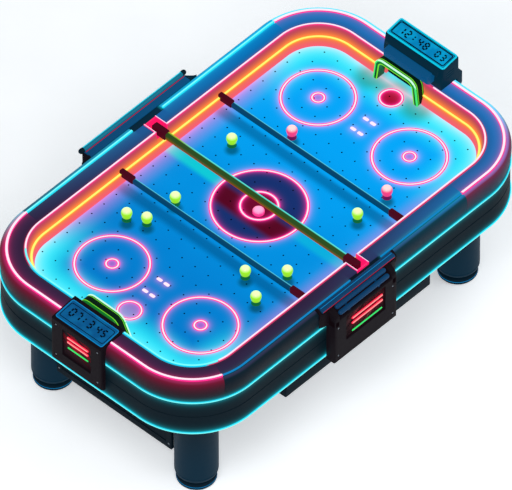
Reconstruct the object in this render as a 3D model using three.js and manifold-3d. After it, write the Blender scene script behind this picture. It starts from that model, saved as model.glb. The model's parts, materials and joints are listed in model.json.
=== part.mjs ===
// A seven-foot air hockey table with neon trim, in millimetres, +Z up.
// The origin is on the floor under the middle of the table. +X runs to the far goal, +Y to the left side.
import * as THREE from "three";
import { mergeVertices } from "three/addons/utils/BufferGeometryUtils.js";
import Module from "manifold-3d";

const wasm = await Module();
wasm.setup();

// ---------------------------------------------------------------- driving dimensions

const LENGTH = 2110; // over the cabinet
const WIDTH = 1300;
const CORNER = 320; // plan radius of the cabinet's corners
const CORNER_STEPS = 12;
const GAP = 0.4; // between two pieces that touch

const RAIL_TOP = 800;
const PLAY = 700; // top of the playing surface
const RAIL_WIDTH = 110; // from the cabinet's side to the rink
const WALL = 12; // thickness of the rink wall at the top
const WALL_SLOPE = 30; // how much further in the wall's foot is
const BOARD = 18; // thickness of the playing surface

const UPPER_LED = 687; // height of the middle of each cabinet strip
const LOWER_LED = 503;
const STRIP = 12; // height of a cabinet strip
const STRIP_PROUD = 4;
const EDGE_LED_INSET = 27; // middle of the strip along the top of the rail
const EDGE_LED = 12;

const LEG_X = 800;
const LEG_Y = 411;
const LEG_RADIUS = 94;
const FOOT_RADIUS = 87;

const NOTCH_WIDTH = 74; // the slot in the rail that takes the centre bar
const NOTCH_INSET = 40; // where the slot ends, from the cabinet's side
const NOTCH_FLOOR = 760;

const GOALS = {
  near: { end: -1, y: 10, width: 300, topWidth: 196, height: 116 },
  far: { end: 1, y: 38, width: 252, topWidth: 206, height: 130 },
}; // each goal's place across the table and its arch's outer size
const GOAL_DEPTH = 54;
const GOAL_WALL = 20; // width of the arch's band
const MOUTH_WIDTH = 200; // of the slot in the rink wall
const MOUTH_HEIGHT = 42;
const POCKET_DEPTH = 54;
const POCKET_WIDTH = MOUTH_WIDTH + 16;

const BOARD_WIDTH = 284; // of the near scoreboard, across the table
const BOARD_PROUD = 33; // how far the near scoreboard stands out from the cabinet's end

const HALF_L = LENGTH / 2;
const HALF_W = WIDTH / 2;
const RINK_X = HALF_L - RAIL_WIDTH;
const RINK_Y = HALF_W - RAIL_WIDTH;
const STRIP_TOP = UPPER_LED + STRIP / 2;
const SHELL_TOP = UPPER_LED - STRIP / 2 - GAP;
const SHELL_BOTTOM = LOWER_LED + STRIP / 2 + GAP;
const SHELL_WALL = 22;
const LEDGE_INSET = 90; // inner edge of the ledge that carries the playing surface

// Where each end rail meets the side rails. A corner share counts from where the corner starts, going
// anticlockwise seen from above.
const NEAR_LEFT_SEAM = -735;
const NEAR_RIGHT_SHARE = 9 / 12;
const FAR_LEFT_SHARE = 11 / 12;
const FAR_RIGHT_SEAM = 590;

// ---------------------------------------------------------------- materials

const material = (color, roughness, metalness = 0, emissive = 0x000000) =>
  new THREE.MeshStandardMaterial({ color, roughness, metalness, emissive });
const NAVY = material(0x0c1c2e, 0.45);
const RAIL = material(0x12406e, 0.4);
const PLAYFIELD = material(0x0a8fe0, 0.25);
const WALL_COLOUR = material(0xe0663f, 0.4);
const CYAN = material(0x35f4ff, 0.3, 0, 0x35f4ff);
const PINK = material(0xff3f8f, 0.3, 0, 0xff3f8f);
const AMBER = material(0xffd23c, 0.3, 0, 0xffd23c);
const GREEN = material(0x2fc22f, 0.35);
const LIME = material(0xa8ff3c, 0.3, 0, 0x66cc22);
const OLIVE = material(0x5a5a1e, 0.4);
const DISPLAY = material(0x14618c, 0.25);
const METAL = material(0x6a7078, 0.35, 1);
const RUBBER = material(0x0b1016, 0.8);

// ---------------------------------------------------------------- solids

// A closed geometry as a manifold-3d solid.
function solidOf(geometry) {
  const bare = (geometry.index ? geometry.toNonIndexed() : geometry.clone());
  bare.deleteAttribute("normal");
  bare.deleteAttribute("uv");
  const merged = mergeVertices(bare, 1e-3);
  const mesh = new wasm.Mesh({
    numProp: 3,
    vertProperties: new Float32Array(merged.attributes.position.array),
    triVerts: new Uint32Array(merged.index.array),
  });
  return new wasm.Manifold(mesh);
}

function geometryOf(solid) {
  const mesh = solid.getMesh();
  const geometry = new THREE.BufferGeometry();
  geometry.setAttribute("position", new THREE.BufferAttribute(mesh.vertProperties, 3));
  geometry.setIndex(new THREE.BufferAttribute(mesh.triVerts, 1));
  return geometry;
}

function cut(geometry, ...tools) {
  let solid = solidOf(geometry);
  for (const tool of tools) solid = solid.subtract(solidOf(tool));
  return geometryOf(solid);
}

function join(first, ...others) {
  let solid = solidOf(first);
  for (const other of others) solid = solid.add(solidOf(other));
  return geometryOf(solid);
}

const box = (x0, x1, y0, y1, z0, z1) =>
  new THREE.BoxGeometry(x1 - x0, y1 - y0, z1 - z0).translate((x0 + x1) / 2, (y0 + y1) / 2, (z0 + z1) / 2);

const shapeOf = (points) => new THREE.Shape(points.map(([x, y]) => new THREE.Vector2(x, y)));

// An outline of [y, z] points, run along X from x0 to x1.
function prismX(outline, x0, x1) {
  const turn = new THREE.Matrix4().makeBasis(
    new THREE.Vector3(0, 1, 0), new THREE.Vector3(0, 0, 1), new THREE.Vector3(1, 0, 0));
  return new THREE.ExtrudeGeometry(outline instanceof THREE.Shape ? outline : shapeOf(outline), {
    depth: x1 - x0, bevelEnabled: false, curveSegments: 6 }).applyMatrix4(turn).translate(x0, 0, 0);
}

// An outline of [x, z] points, run along Y from y0 to y1.
function prismY(outline, y0, y1) {
  const turn = new THREE.Matrix4().makeBasis(
    new THREE.Vector3(1, 0, 0), new THREE.Vector3(0, 0, 1), new THREE.Vector3(0, -1, 0));
  return new THREE.ExtrudeGeometry(shapeOf(outline), { depth: y1 - y0, bevelEnabled: false })
    .applyMatrix4(turn).translate(0, y1, 0);
}

// A [radius, z] profile turned about a vertical axis at x, y.
function turned(profile, x = 0, y = 0, steps = 20) {
  const points = profile.map(([r, z]) => new THREE.Vector2(r, z));
  return new THREE.LatheGeometry(points, steps).rotateX(Math.PI / 2).translate(x, y, 0);
}

const cylinder = (radius, z0, z1, x = 0, y = 0, steps = 20) =>
  turned([[0, z0], [radius, z0], [radius, z1], [0, z1]], x, y, steps);

// ---------------------------------------------------------------- the cabinet's edge

// A station is a point on the cabinet's plan outline with its outward normal.
const station = (x, y, nx, ny) => ({ x, y, nx, ny });
const CORNER_ANGLE = { "1,1": 0, "-1,1": 90, "-1,-1": 180, "1,-1": 270 };

// The stations round one corner, anticlockwise, from one share of its quarter turn to another.
function corner(sx, sy, from = 0, to = 1) {
  const steps = Math.max(1, Math.round(CORNER_STEPS * (to - from)));
  return Array.from({ length: steps + 1 }, (_, i) => {
    const share = from + ((to - from) * i) / steps;
    const a = THREE.MathUtils.degToRad(CORNER_ANGLE[[sx, sy]] + 90 * share);
    const [c, s] = [Math.cos(a), Math.sin(a)];
    return station(sx * (HALF_L - CORNER) + CORNER * c, sy * (HALF_W - CORNER) + CORNER * s, c, s);
  });
}

const onLeft = (x) => station(x, HALF_W, 0, 1);
const onRight = (x) => station(x, -HALF_W, 0, -1);
const ALL_ROUND = [...corner(1, 1), ...corner(-1, 1), ...corner(-1, -1), ...corner(1, -1)];
const NEAR_END = [onLeft(NEAR_LEFT_SEAM), ...corner(-1, 1, 0.001), ...corner(-1, -1, 0, NEAR_RIGHT_SHARE)];
const FAR_END = [onRight(FAR_RIGHT_SEAM), ...corner(1, -1), ...corner(1, 1, 0, FAR_LEFT_SHARE)];
const LEFT_SIDE = [...corner(1, 1, FAR_LEFT_SHARE + 0.001), onLeft(NEAR_LEFT_SEAM + GAP)];
const RIGHT_SIDE = [...corner(-1, -1, NEAR_RIGHT_SHARE + 0.001), onRight(FAR_RIGHT_SEAM - GAP)];

// Sweeps a profile of [inset from the cabinet's side, z] points along stations that run anticlockwise.
function sweep(profile, stations, closed = false) {
  const outline = profile.map(([inset, z]) => new THREE.Vector2(inset, z));
  if (THREE.ShapeUtils.area(outline) > 0) outline.reverse();
  const n = outline.length;
  const positions = [];
  for (const s of stations)
    for (const p of outline) positions.push(s.x - p.x * s.nx, s.y - p.x * s.ny, p.y);
  const index = [];
  const spans = closed ? stations.length : stations.length - 1;
  for (let i = 0; i < spans; i++) {
    const a = i * n;
    const b = ((i + 1) % stations.length) * n;
    for (let j = 0; j < n; j++) {
      const k = (j + 1) % n;
      index.push(a + j, b + j, b + k, a + j, b + k, a + k);
    }
  }
  if (!closed) {
    const last = (stations.length - 1) * n;
    for (const [p, q, r] of THREE.ShapeUtils.triangulateShape(outline, [])) {
      index.push(p, r, q);
      index.push(last + p, last + q, last + r);
    }
  }
  const geometry = new THREE.BufferGeometry();
  geometry.setAttribute("position", new THREE.Float32BufferAttribute(positions, 3));
  geometry.setIndex(index);
  return solidOf(geometry).volume() < 0 ? reversed(geometry) : geometry;
}

function reversed(geometry) {
  const index = Array.from(geometry.index.array);
  for (let i = 0; i < index.length; i += 3) [index[i + 1], index[i + 2]] = [index[i + 2], index[i + 1]];
  return geometry.setIndex(index);
}

const band = (inset0, inset1, z0, z1) => [[inset0, z0], [inset1, z0], [inset1, z1], [inset0, z1]];

// ---------------------------------------------------------------- cabinet

function cabinetShell() {
  return sweep([
    [0, SHELL_BOTTOM], [SHELL_WALL, SHELL_BOTTOM], [SHELL_WALL, SHELL_TOP - 20],
    [LEDGE_INSET, SHELL_TOP - 20], [LEDGE_INSET, SHELL_TOP], [0, SHELL_TOP],
  ], ALL_ROUND, true);
}

// An outline in plan, run up from z0 to z1.
const upright = (outline, z0, z1) =>
  new THREE.ExtrudeGeometry(shapeOf(outline), { depth: z1 - z0, bevelEnabled: false }).translate(0, 0, z0);

// A flat plate that follows the cabinet's outline.
function flatPlate(inset, z0, z1) {
  const outline = ALL_ROUND.map((s) => [s.x - inset * s.nx, s.y - inset * s.ny]);
  return upright(outline, z0, z1);
}

const BASE_BOTTOM = SHELL_BOTTOM + 1;
const BASE_TOP = BASE_BOTTOM + 18;
const BLOWER_X = 0;
const DUCT_RADIUS = 62;
const DUCT_X = BLOWER_X + 95;

const basePanel = () => cut(
  flatPlate(SHELL_WALL + GAP, BASE_BOTTOM, BASE_TOP),
  cylinder(DUCT_RADIUS + GAP, 0, PLAY, DUCT_X, 0),
);

// ---------------------------------------------------------------- pegs, puck and playing surface

const PEG_RADIUS = 24;
const PEG_STEM = 20;
const PEG_HOLE = 14; // radius of the spigot that goes through the playing surface
const PEG_BASE = 12; // how far the spigot reaches under the playing surface
const GREEN_PEGS = {
  mid_left: [-204, 270], mid_right: [-190, -357], far_left: [201, 327], far_right: [247, -348],
};
const PINK_PEGS = { left: [406, 175], right: [427, -348] };
const TWIN_PEGS = { left: [[-409, 355], [-370, 276]], right: [[-310, -230], [-386, -362]] };
const ALL_PEGS = [
  ...Object.values(GREEN_PEGS), ...Object.values(PINK_PEGS), ...Object.values(TWIN_PEGS).flat(),
];

// A spigot through the playing surface, a stem and a ball-shaped cap. Z is 0 on the playing surface.
function peg(x = 0, y = 0, bottom = -BOARD - PEG_BASE) {
  const steps = 5;
  const cap = Array.from({ length: steps }, (_, i) => {
    const a = THREE.MathUtils.degToRad(-52 + (142 * i) / steps);
    return [PEG_RADIUS * Math.cos(a), PEG_STEM + 20 + PEG_RADIUS * Math.sin(a)];
  });
  return turned([
    [0, bottom], [PEG_HOLE - GAP, bottom], [PEG_HOLE - GAP, GAP], [PEG_RADIUS - 5, GAP],
    [PEG_RADIUS - 5, PEG_STEM - 4], ...cap, [0, PEG_STEM + 20 + PEG_RADIUS],
  ], x, y, 12);
}

// Two pegs on one bar under the playing surface. The first peg is at the origin.
function twinPeg([a, b]) {
  const [dx, dy] = [b[0] - a[0], b[1] - a[1]];
  const middle = -BOARD - GAP - PEG_BASE / 2;
  const bar = new THREE.BoxGeometry(Math.hypot(dx, dy) + 30, 24, PEG_BASE)
    .rotateZ(Math.atan2(dy, dx)).translate(dx / 2, dy / 2, middle);
  return join(bar, peg(0, 0, middle), peg(dx, dy, middle));
}

const PUCK = [-6, -20];
const PUCK_RADIUS = 26;
const puck = () => turned([
  [0, GAP], [PUCK_RADIUS - 2, GAP], [PUCK_RADIUS, 4], [PUCK_RADIUS, 9], [PUCK_RADIUS - 4, 17],
  [PUCK_RADIUS - 12, 23], [0, 26],
]);

// Air holes on a square grid, away from the pegs.
const AIR_PITCH = 150;
const AIR_RADIUS = 2.6;
function airHoles() {
  const holes = [];
  for (let x = -6; x <= 6; x++)
    for (let y = -3; y <= 3; y++) {
      const at = [x * AIR_PITCH, y * AIR_PITCH];
      const clear = ALL_PEGS.every(([px, py]) => Math.hypot(at[0] - px, at[1] - py) > PEG_RADIUS + 12);
      const inside = Math.abs(at[0]) < RINK_X - 60 - Math.max(0, Math.abs(at[1]) - 330);
      if (clear && inside) holes.push(cylinder(AIR_RADIUS, PLAY - BOARD - 5, PLAY + 5, ...at, 4));
    }
  return holes;
}

function playfield() {
  const board = flatPlate(RAIL_WIDTH - 41, PLAY - BOARD, PLAY);
  const sockets = ALL_PEGS.map(([x, y]) => cylinder(PEG_HOLE, PLAY - BOARD - 5, PLAY + 5, x, y, 12));
  return cut(board, ...sockets, ...airHoles());
}

// ---------------------------------------------------------------- rink wall and rails

const NOTCH_CUT = NOTCH_WIDTH / 2 + GAP;
const notchCut = (side) => {
  const [near, far] = [RINK_Y - 20, HALF_W - NOTCH_INSET + GAP];
  const [y0, y1] = side > 0 ? [near, far] : [-far, -near];
  return box(-NOTCH_CUT, NOTCH_CUT, y0, y1, NOTCH_FLOOR - 6 - GAP, RAIL_TOP + 20);
};

// A box that is given from the rink outwards, at either end of the table.
const ordered = (a, b) => [Math.min(a, b), Math.max(a, b)];
const endBox = (end, x0, x1, ...rest) => box(...ordered(end * x0, end * x1), ...rest);

// The slot for the puck, and room for the arch that stands in front of it.
function goalCuts({ end, y, width, height }) {
  const half = width / 2 + 2;
  const mouth = MOUTH_WIDTH / 2;
  return [
    endBox(end, RINK_X - 10, RINK_X + WALL + 10, y - mouth, y + mouth, PLAY - 5, PLAY + MOUTH_HEIGHT),
    endBox(end, RINK_X - WALL_SLOPE - 20, RINK_X, y - half, y + half, PLAY - 5, PLAY + height),
  ];
}

function rinkWall() {
  const section = [
    [RAIL_WIDTH - WALL, PLAY + GAP], [RAIL_WIDTH + WALL_SLOPE, PLAY + GAP], [RAIL_WIDTH, RAIL_TOP],
    [RAIL_WIDTH - WALL, RAIL_TOP],
  ];
  const ring = sweep(section, ALL_ROUND, true);
  return cut(ring, notchCut(1), notchCut(-1), ...Object.values(GOALS).flatMap(goalCuts));
}

// The rail's section: flat top, a seat for the light strip, and a side that swells out to the cabinet.
const RAIL_INNER = RAIL_WIDTH - WALL - GAP;
const RAIL_FOOT = RAIL_WIDTH - 42; // the rail's foot, outside the playing surface
const SEAT_DEPTH = 11;
const SEAT_IN = EDGE_LED_INSET + EDGE_LED / 2; // inner and outer sides of the light strip
const SEAT_OUT = EDGE_LED_INSET - EDGE_LED / 2;
const RAIL_SECTION = [
  [RAIL_INNER, RAIL_TOP], [SEAT_IN + GAP, RAIL_TOP], [SEAT_IN + GAP, RAIL_TOP - SEAT_DEPTH],
  [SEAT_OUT - GAP, RAIL_TOP - SEAT_DEPTH], [EDGE_LED_INSET - 9, RAIL_TOP - 14], [8, RAIL_TOP - 30],
  [2, RAIL_TOP - 56], [0, RAIL_TOP - 84], [0, STRIP_TOP + GAP], [RAIL_FOOT, STRIP_TOP + GAP],
  [RAIL_FOOT, PLAY + GAP], [RAIL_INNER, PLAY + GAP],
];
const EDGE_LED_SECTION = [
  [SEAT_IN, RAIL_TOP - SEAT_DEPTH + GAP], [SEAT_IN, RAIL_TOP], [EDGE_LED_INSET + 3, RAIL_TOP + 4],
  [EDGE_LED_INSET - 3, RAIL_TOP + 4], [SEAT_OUT, RAIL_TOP], [SEAT_OUT, RAIL_TOP - SEAT_DEPTH + GAP],
];

const POCKET_OUT = RINK_X + WALL + GAP + POCKET_DEPTH; // outer face of the goal pocket
const HOUSING_FLOOR = PLAY + 46; // underside of the scoreboard where it crosses the rail
// Room in an end rail for the goal pocket.
const pocketRoom = ({ end, y }) => endBox(end, RINK_X - 5, POCKET_OUT + GAP, y - POCKET_WIDTH / 2 - GAP,
  y + POCKET_WIDTH / 2 + GAP, PLAY - 3, HOUSING_FLOOR + 1);
const scoreboardRoom = () => {
  const half = BOARD_WIDTH / 2 + GAP;
  return endBox(-1, RINK_X - 5, HALF_L + 5, -half, half, HOUSING_FLOOR, RAIL_TOP + 20);
};

const railEndNear = () => cut(sweep(RAIL_SECTION, NEAR_END), pocketRoom(GOALS.near), scoreboardRoom());
const railEndFar = () => cut(sweep(RAIL_SECTION, FAR_END), pocketRoom(GOALS.far));
const railSide = (stations, side) => cut(sweep(RAIL_SECTION, stations), notchCut(side));

// A U-shaped channel set in the left notch, open to the rink.
function barSaddle() {
  const [x, t] = [NOTCH_WIDTH / 2, 6];
  const [y0, y1] = [RINK_Y, HALF_W - NOTCH_INSET];
  return cut(
    box(-x, x, y0, y1, NOTCH_FLOOR - t, RAIL_TOP),
    box(-x + t, x - t, y0 - 5, y1 - t, NOTCH_FLOOR, RAIL_TOP + 5),
  );
}

// ---------------------------------------------------------------- light strips

const SIDE_LED_GAP = 95; // from the middle of the table to each side strip
const edgeLed = (stations) => sweep(EDGE_LED_SECTION, stations);
// The near strip is lower where it passes under the scoreboard.
const LED_DIP = RAIL_TOP - 5;
const endLedNear = () => cut(edgeLed(NEAR_END),
  box(-HALF_L, -RINK_X, -BOARD_WIDTH / 2 - 1, BOARD_WIDTH / 2 + 1, LED_DIP, RAIL_TOP + 10));
const cabinetLed = (middle) =>
  sweep(band(-STRIP_PROUD, 11, middle - STRIP / 2, middle + STRIP / 2), ALL_ROUND, true);

// The tube lies on the wall's slope. Its section is given as [out from the slope, up].
const wallInset = (z) => RAIL_WIDTH + (WALL_SLOPE * (RAIL_TOP - z)) / (RAIL_TOP - PLAY - GAP);
const WALL_LED = [[GAP, 39], [8, 40], [10, 46], [7, 52], [GAP, 53]]
  .map(([out, up]) => [wallInset(PLAY + up) + out, PLAY + up]);
function wallLed(side) {
  const past = 6; // clear of each arch
  const edge = (goal) => goal.y + side * (goal.width / 2 + past);
  const far = station(HALF_L, edge(GOALS.far), 1, 0);
  const near = station(-HALF_L, edge(GOALS.near), -1, 0);
  return sweep(WALL_LED, side > 0
    ? [far, ...corner(1, 1), ...corner(-1, 1), near]
    : [near, ...corner(-1, -1), ...corner(1, -1), far]);
}

// ---------------------------------------------------------------- goals

// The arch's outline, drawn in by t all round, about the middle of the goal line.
function archOutline({ width, topWidth, height }, t) {
  const [foot, top, apex] = [width / 2 - t, topWidth / 2 - t * 0.8, height - t];
  const r = 34 - t * 0.6;
  const bottom = t ? GAP - 5 : GAP;
  const shape = new THREE.Shape();
  shape.moveTo(-foot, bottom);
  shape.lineTo(-top - r * 0.35, apex - r);
  shape.quadraticCurveTo(-top, apex, -top + r, apex);
  shape.lineTo(top - r, apex);
  shape.quadraticCurveTo(top, apex, top + r * 0.35, apex - r);
  shape.lineTo(foot, bottom);
  return shape;
}

const goalFrame = (goal) => cut(
  prismX(archOutline(goal, 0), -GOAL_DEPTH, -GAP),
  prismX(archOutline(goal, GOAL_WALL), -GOAL_DEPTH - 5, 5),
);

// A shallow tray behind the goal mouth that catches the puck.
function goalPocket() {
  const [x0, x1, y, t] = [WALL + GAP, POCKET_OUT - RINK_X, POCKET_WIDTH / 2, 4];
  return cut(box(x0, x1, -y, y, GAP, 44), box(x0 - 5, x1 - t, -y + t, y - t, GAP + 1.5, 50));
}

// ---------------------------------------------------------------- scoreboards

// The near scoreboard crosses the rail and hangs down outside the cabinet. Its top slopes to the outside.
const NEAR_TOP_IN = RAIL_TOP + 14;
const NEAR_TOP_OUT = RAIL_TOP - 2;
const NEAR_OUT = HALF_L + BOARD_PROUD;
const NEAR_BOTTOM = 540;
const DISPLAY_INSET = 12;
const DISPLAY_DEPTH = 14;
const WINDOW_DEPTH = 8; // of the light window sunk in a housing's front
const NEAR_WINDOW = { half: 82, bottom: 610, top: 765 };
const DISPLAY_IN = RINK_X + 20; // inner edge of the near display
const nearTop = (x) => NEAR_TOP_OUT + ((NEAR_TOP_IN - NEAR_TOP_OUT) * (NEAR_OUT - x)) / (NEAR_OUT - RINK_X);

function nearScoreboard() {
  const y = BOARD_WIDTH / 2;
  const back = HALF_L + STRIP_PROUD + 1;
  const behindWall = RINK_X + WALL + GAP;
  const body = prismY([
    [-RINK_X, RAIL_TOP + GAP], [-RINK_X, NEAR_TOP_IN], [-NEAR_OUT + 6, nearTop(NEAR_OUT - 6)],
    [-NEAR_OUT, NEAR_TOP_OUT - 8], [-NEAR_OUT, NEAR_BOTTOM + 14], [-NEAR_OUT + 14, NEAR_BOTTOM],
    [-back, NEAR_BOTTOM], [-back, HOUSING_FLOOR + GAP], [-behindWall, HOUSING_FLOOR + GAP],
    [-behindWall, RAIL_TOP + GAP],
  ], -y, y);
  const [x0, x1] = [-NEAR_OUT + DISPLAY_INSET, -DISPLAY_IN];
  const well = prismY([
    [x0, nearTop(-x0) + 10], [x0, nearTop(-x0) - DISPLAY_DEPTH], [x1, nearTop(-x1) - DISPLAY_DEPTH],
    [x1, nearTop(-x1) + 10],
  ], -y + DISPLAY_INSET, y - DISPLAY_INSET);
  const { half, bottom, top } = NEAR_WINDOW;
  const window = box(-NEAR_OUT - 5, -NEAR_OUT + WINDOW_DEPTH, -half, half, bottom, top);
  const stripWay = sweep(band(SEAT_OUT - 2, SEAT_IN + 2, RAIL_TOP - 13, RAIL_TOP + 6), NEAR_END);
  return cut(body, well, window, stripWay);
}

function nearDisplay() {
  const y = BOARD_WIDTH / 2 - DISPLAY_INSET - GAP;
  const [x0, x1] = [-NEAR_OUT + DISPLAY_INSET + GAP, -HALF_L + SEAT_OUT - 3];
  const [x2, x3] = [-HALF_L + SEAT_IN + 3, -DISPLAY_IN - GAP];
  const face = (x) => nearTop(-x) - 3;
  const under = (x) => nearTop(-x) - DISPLAY_DEPTH + GAP;
  return prismY([
    [x0, face(x0)], [x0, under(x0)], [x1, under(x1)], [x1, LED_DIP + GAP], [x2, LED_DIP + GAP],
    [x2, under(x2)], [x3, under(x3)], [x3, face(x3)],
  ].reverse(), -y, y);
}

// The far scoreboard stands on the rail. Its display leans back, with a shelf over the goal.
const FAR_IN = 968;
const FAR_OUT = 1064;
const CABLE_BOX_OUT = 1088; // the box behind the cabinet's end, under the display
const FAR_TOP_IN = 921;
const FAR_TOP_OUT = 936;
const FAR_HALF = 165;
const farTop = (x) => FAR_TOP_IN + ((FAR_TOP_OUT - FAR_TOP_IN) * (x - FAR_IN)) / (FAR_OUT - FAR_IN);

function farScoreboard() {
  const rest = RAIL_TOP + GAP;
  const shell = prismY([
    [FAR_IN, FAR_TOP_IN - 8], [FAR_IN + 6, farTop(FAR_IN + 6)], [FAR_OUT - 6, farTop(FAR_OUT - 6)],
    [FAR_OUT, FAR_TOP_OUT - 8], [FAR_OUT, RAIL_TOP + 40], [CABLE_BOX_OUT, RAIL_TOP + 24],
    [CABLE_BOX_OUT, RAIL_TOP - 44], [CABLE_BOX_OUT - 8, RAIL_TOP - 52],
    [HALF_L + 1, RAIL_TOP - 52], [HALF_L + 1, rest], [956, rest], [956, 842],
  ], -FAR_HALF, FAR_HALF);
  const shelf = prismY([[910, 846], [910, 884], [972, 892], [972, 830], [926, 830]], -124, 124);
  const lip = prismY([[944, 880], [944, 902], [972, 906], [972, 880]], -148, 148);
  const well = prismY([
    [FAR_IN + 12, farTop(FAR_IN + 12) + 10], [FAR_IN + 12, farTop(FAR_IN + 12) - DISPLAY_DEPTH],
    [FAR_OUT - 12, farTop(FAR_OUT - 12) - DISPLAY_DEPTH], [FAR_OUT - 12, farTop(FAR_OUT - 12) + 10],
  ], -FAR_HALF + 12, FAR_HALF - 12);
  const reach = FAR_HALF + 35;
  const stripWay =
    box(HALF_L - SEAT_IN - 2, HALF_L - SEAT_OUT + 2, -reach, reach, RAIL_TOP - 10, RAIL_TOP + 6);
  return cut(join(shell, shelf, lip), well, stripWay);
}

function farDisplay() {
  const [x0, x1] = [FAR_IN + 12 + GAP, FAR_OUT - 12 - GAP];
  return prismY([
    [x0, farTop(x0) - DISPLAY_DEPTH + GAP], [x1, farTop(x1) - DISPLAY_DEPTH + GAP], [x1, farTop(x1) - 3],
    [x0, farTop(x0) - 3],
  ], -FAR_HALF + 12 + GAP, FAR_HALF - 12 - GAP);
}

// ---------------------------------------------------------------- right side: control console

const CONSOLE_X = -86; // middle of the console
const CONSOLE_HALF = 187;
const CONSOLE_OUT = HALF_W + 57;
const CONSOLE_BOTTOM = 487;
const CONSOLE_BACK = HALF_W + STRIP_PROUD + 1;
// The [y, z] middle and the half length of each push bar.
const PUSH_BARS = { upper: [-674, 782], lower: [-694, 762] };
const PUSH_RADIUS = 11;
const PUSH_HALF = 150;

const HOOD_HALF = 221;
const HOOD_HINGE = [-HALF_W + 9, RAIL_TOP + 2];

const WING_BOTTOM = 706;
const PLUNGERS = [-90, 90]; // places of each bar's plungers, from the console's middle
const CONSOLE_WINDOW = { half: 120, bottom: 585, top: 728 };

// The stepped top leaves each bar room to sink.
const CONSOLE_SIDE = [
  [-CONSOLE_OUT, CONSOLE_BOTTOM + 8], [-CONSOLE_OUT + 8, CONSOLE_BOTTOM], [-CONSOLE_BACK, CONSOLE_BOTTOM],
  [-CONSOLE_BACK, 784], [-CONSOLE_BACK - 6, 784], [-CONSOLE_BACK - 6, 762], [-680, 760], [-683, 742],
  [-CONSOLE_OUT + 4, 741], [-CONSOLE_OUT, 737],
];
const CHEEK_SIDE = [
  [-CONSOLE_OUT, 700], [-CONSOLE_OUT, 758], [-690, 778], [-664, 790], [-CONSOLE_BACK, 790],
  [-CONSOLE_BACK, 700],
];
const KNUCKLE_SIDE = [
  [-CONSOLE_BACK - 10, 760], [-CONSOLE_BACK, 760], [-CONSOLE_BACK, 784], [-642, 794], [-633, 798],
  [-633, 806], [-640, 811], [-650, 808], [-CONSOLE_BACK - 10, 790],
];

// A bracket that reaches past the housing and carries one end of the hood.
function consoleWing(side) {
  const [inner, lug, outer] = [CONSOLE_HALF - 5, HOOD_HALF + 1, HOOD_HALF + 12]
    .map((reach) => CONSOLE_X + side * reach);
  return [
    box(...ordered(inner, outer), -CONSOLE_BACK - 16, -CONSOLE_BACK, WING_BOTTOM, 786),
    prismX(KNUCKLE_SIDE, ...ordered(lug, outer)),
  ];
}

function consoleHousing() {
  const body = prismX(CONSOLE_SIDE, CONSOLE_X - CONSOLE_HALF, CONSOLE_X + CONSOLE_HALF);
  const cheeks = [-1, 1].map((side) => prismX(CHEEK_SIDE, ...ordered(
    CONSOLE_X + side * (PUSH_HALF + 8), CONSOLE_X + side * CONSOLE_HALF)));
  const { half, bottom, top } = CONSOLE_WINDOW;
  const [left, right] = [CONSOLE_X - half, CONSOLE_X + half];
  const window = box(left, right, -CONSOLE_OUT - 5, -CONSOLE_OUT + WINDOW_DEPTH, bottom, top);
  const slots = Object.values(PUSH_BARS).flatMap(([y, z]) => PLUNGERS.map((dx) =>
    box(CONSOLE_X + dx - 6, CONSOLE_X + dx + 6, y - 5, y + 5, z - PUSH_RADIUS - 22, z)));
  return cut(join(body, ...cheeks, ...[-1, 1].flatMap(consoleWing)), window, ...slots);
}

// A round bar on two short plungers.
function pushBar([y, z]) {
  const disc = (r) => Array.from({ length: 12 }, (_, i) => {
    const a = (i * Math.PI) / 6;
    return [y + r * Math.cos(a), z + r * Math.sin(a)];
  });
  const bar = prismX(disc(PUSH_RADIUS), CONSOLE_X - PUSH_HALF, CONSOLE_X + PUSH_HALF);
  const plungers = PLUNGERS.map((dx) =>
    box(CONSOLE_X + dx - 5, CONSOLE_X + dx + 5, y - 4, y + 4, z - PUSH_RADIUS - 14, z));
  return join(bar, ...plungers);
}

// The hood hinges between the console's two knuckles, over the rail's outer side.
const consoleHood = () => prismX([
  [HOOD_HINGE[0] + 8, RAIL_TOP + 3], [HOOD_HINGE[0] + 2, RAIL_TOP + 9], [-660, RAIL_TOP + 7],
  [-667, RAIL_TOP + 1], [-667, RAIL_TOP - 5], [-662, RAIL_TOP - 5], [-658, RAIL_TOP + 1],
  [HOOD_HINGE[0] - 4, RAIL_TOP + 1], [HOOD_HINGE[0], RAIL_TOP - 5], [HOOD_HINGE[0] + 5, RAIL_TOP - 4],
], CONSOLE_X - HOOD_HALF, CONSOLE_X + HOOD_HALF);

// ---------------------------------------------------------------- left side: puck tray

const LID_HALF = 321;
const LID_INSET = 20; // how far the lid stops short of its handle's ends
const LID_HINGE = [CONSOLE_BACK - 4, 796];
const TRAY_X = -15;
const TRAY_HALF = 290;
const TRAY_OUT = HALF_W + 51;
const TRAY_BOTTOM = 560;
const TRAY_TOP = 790;

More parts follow.
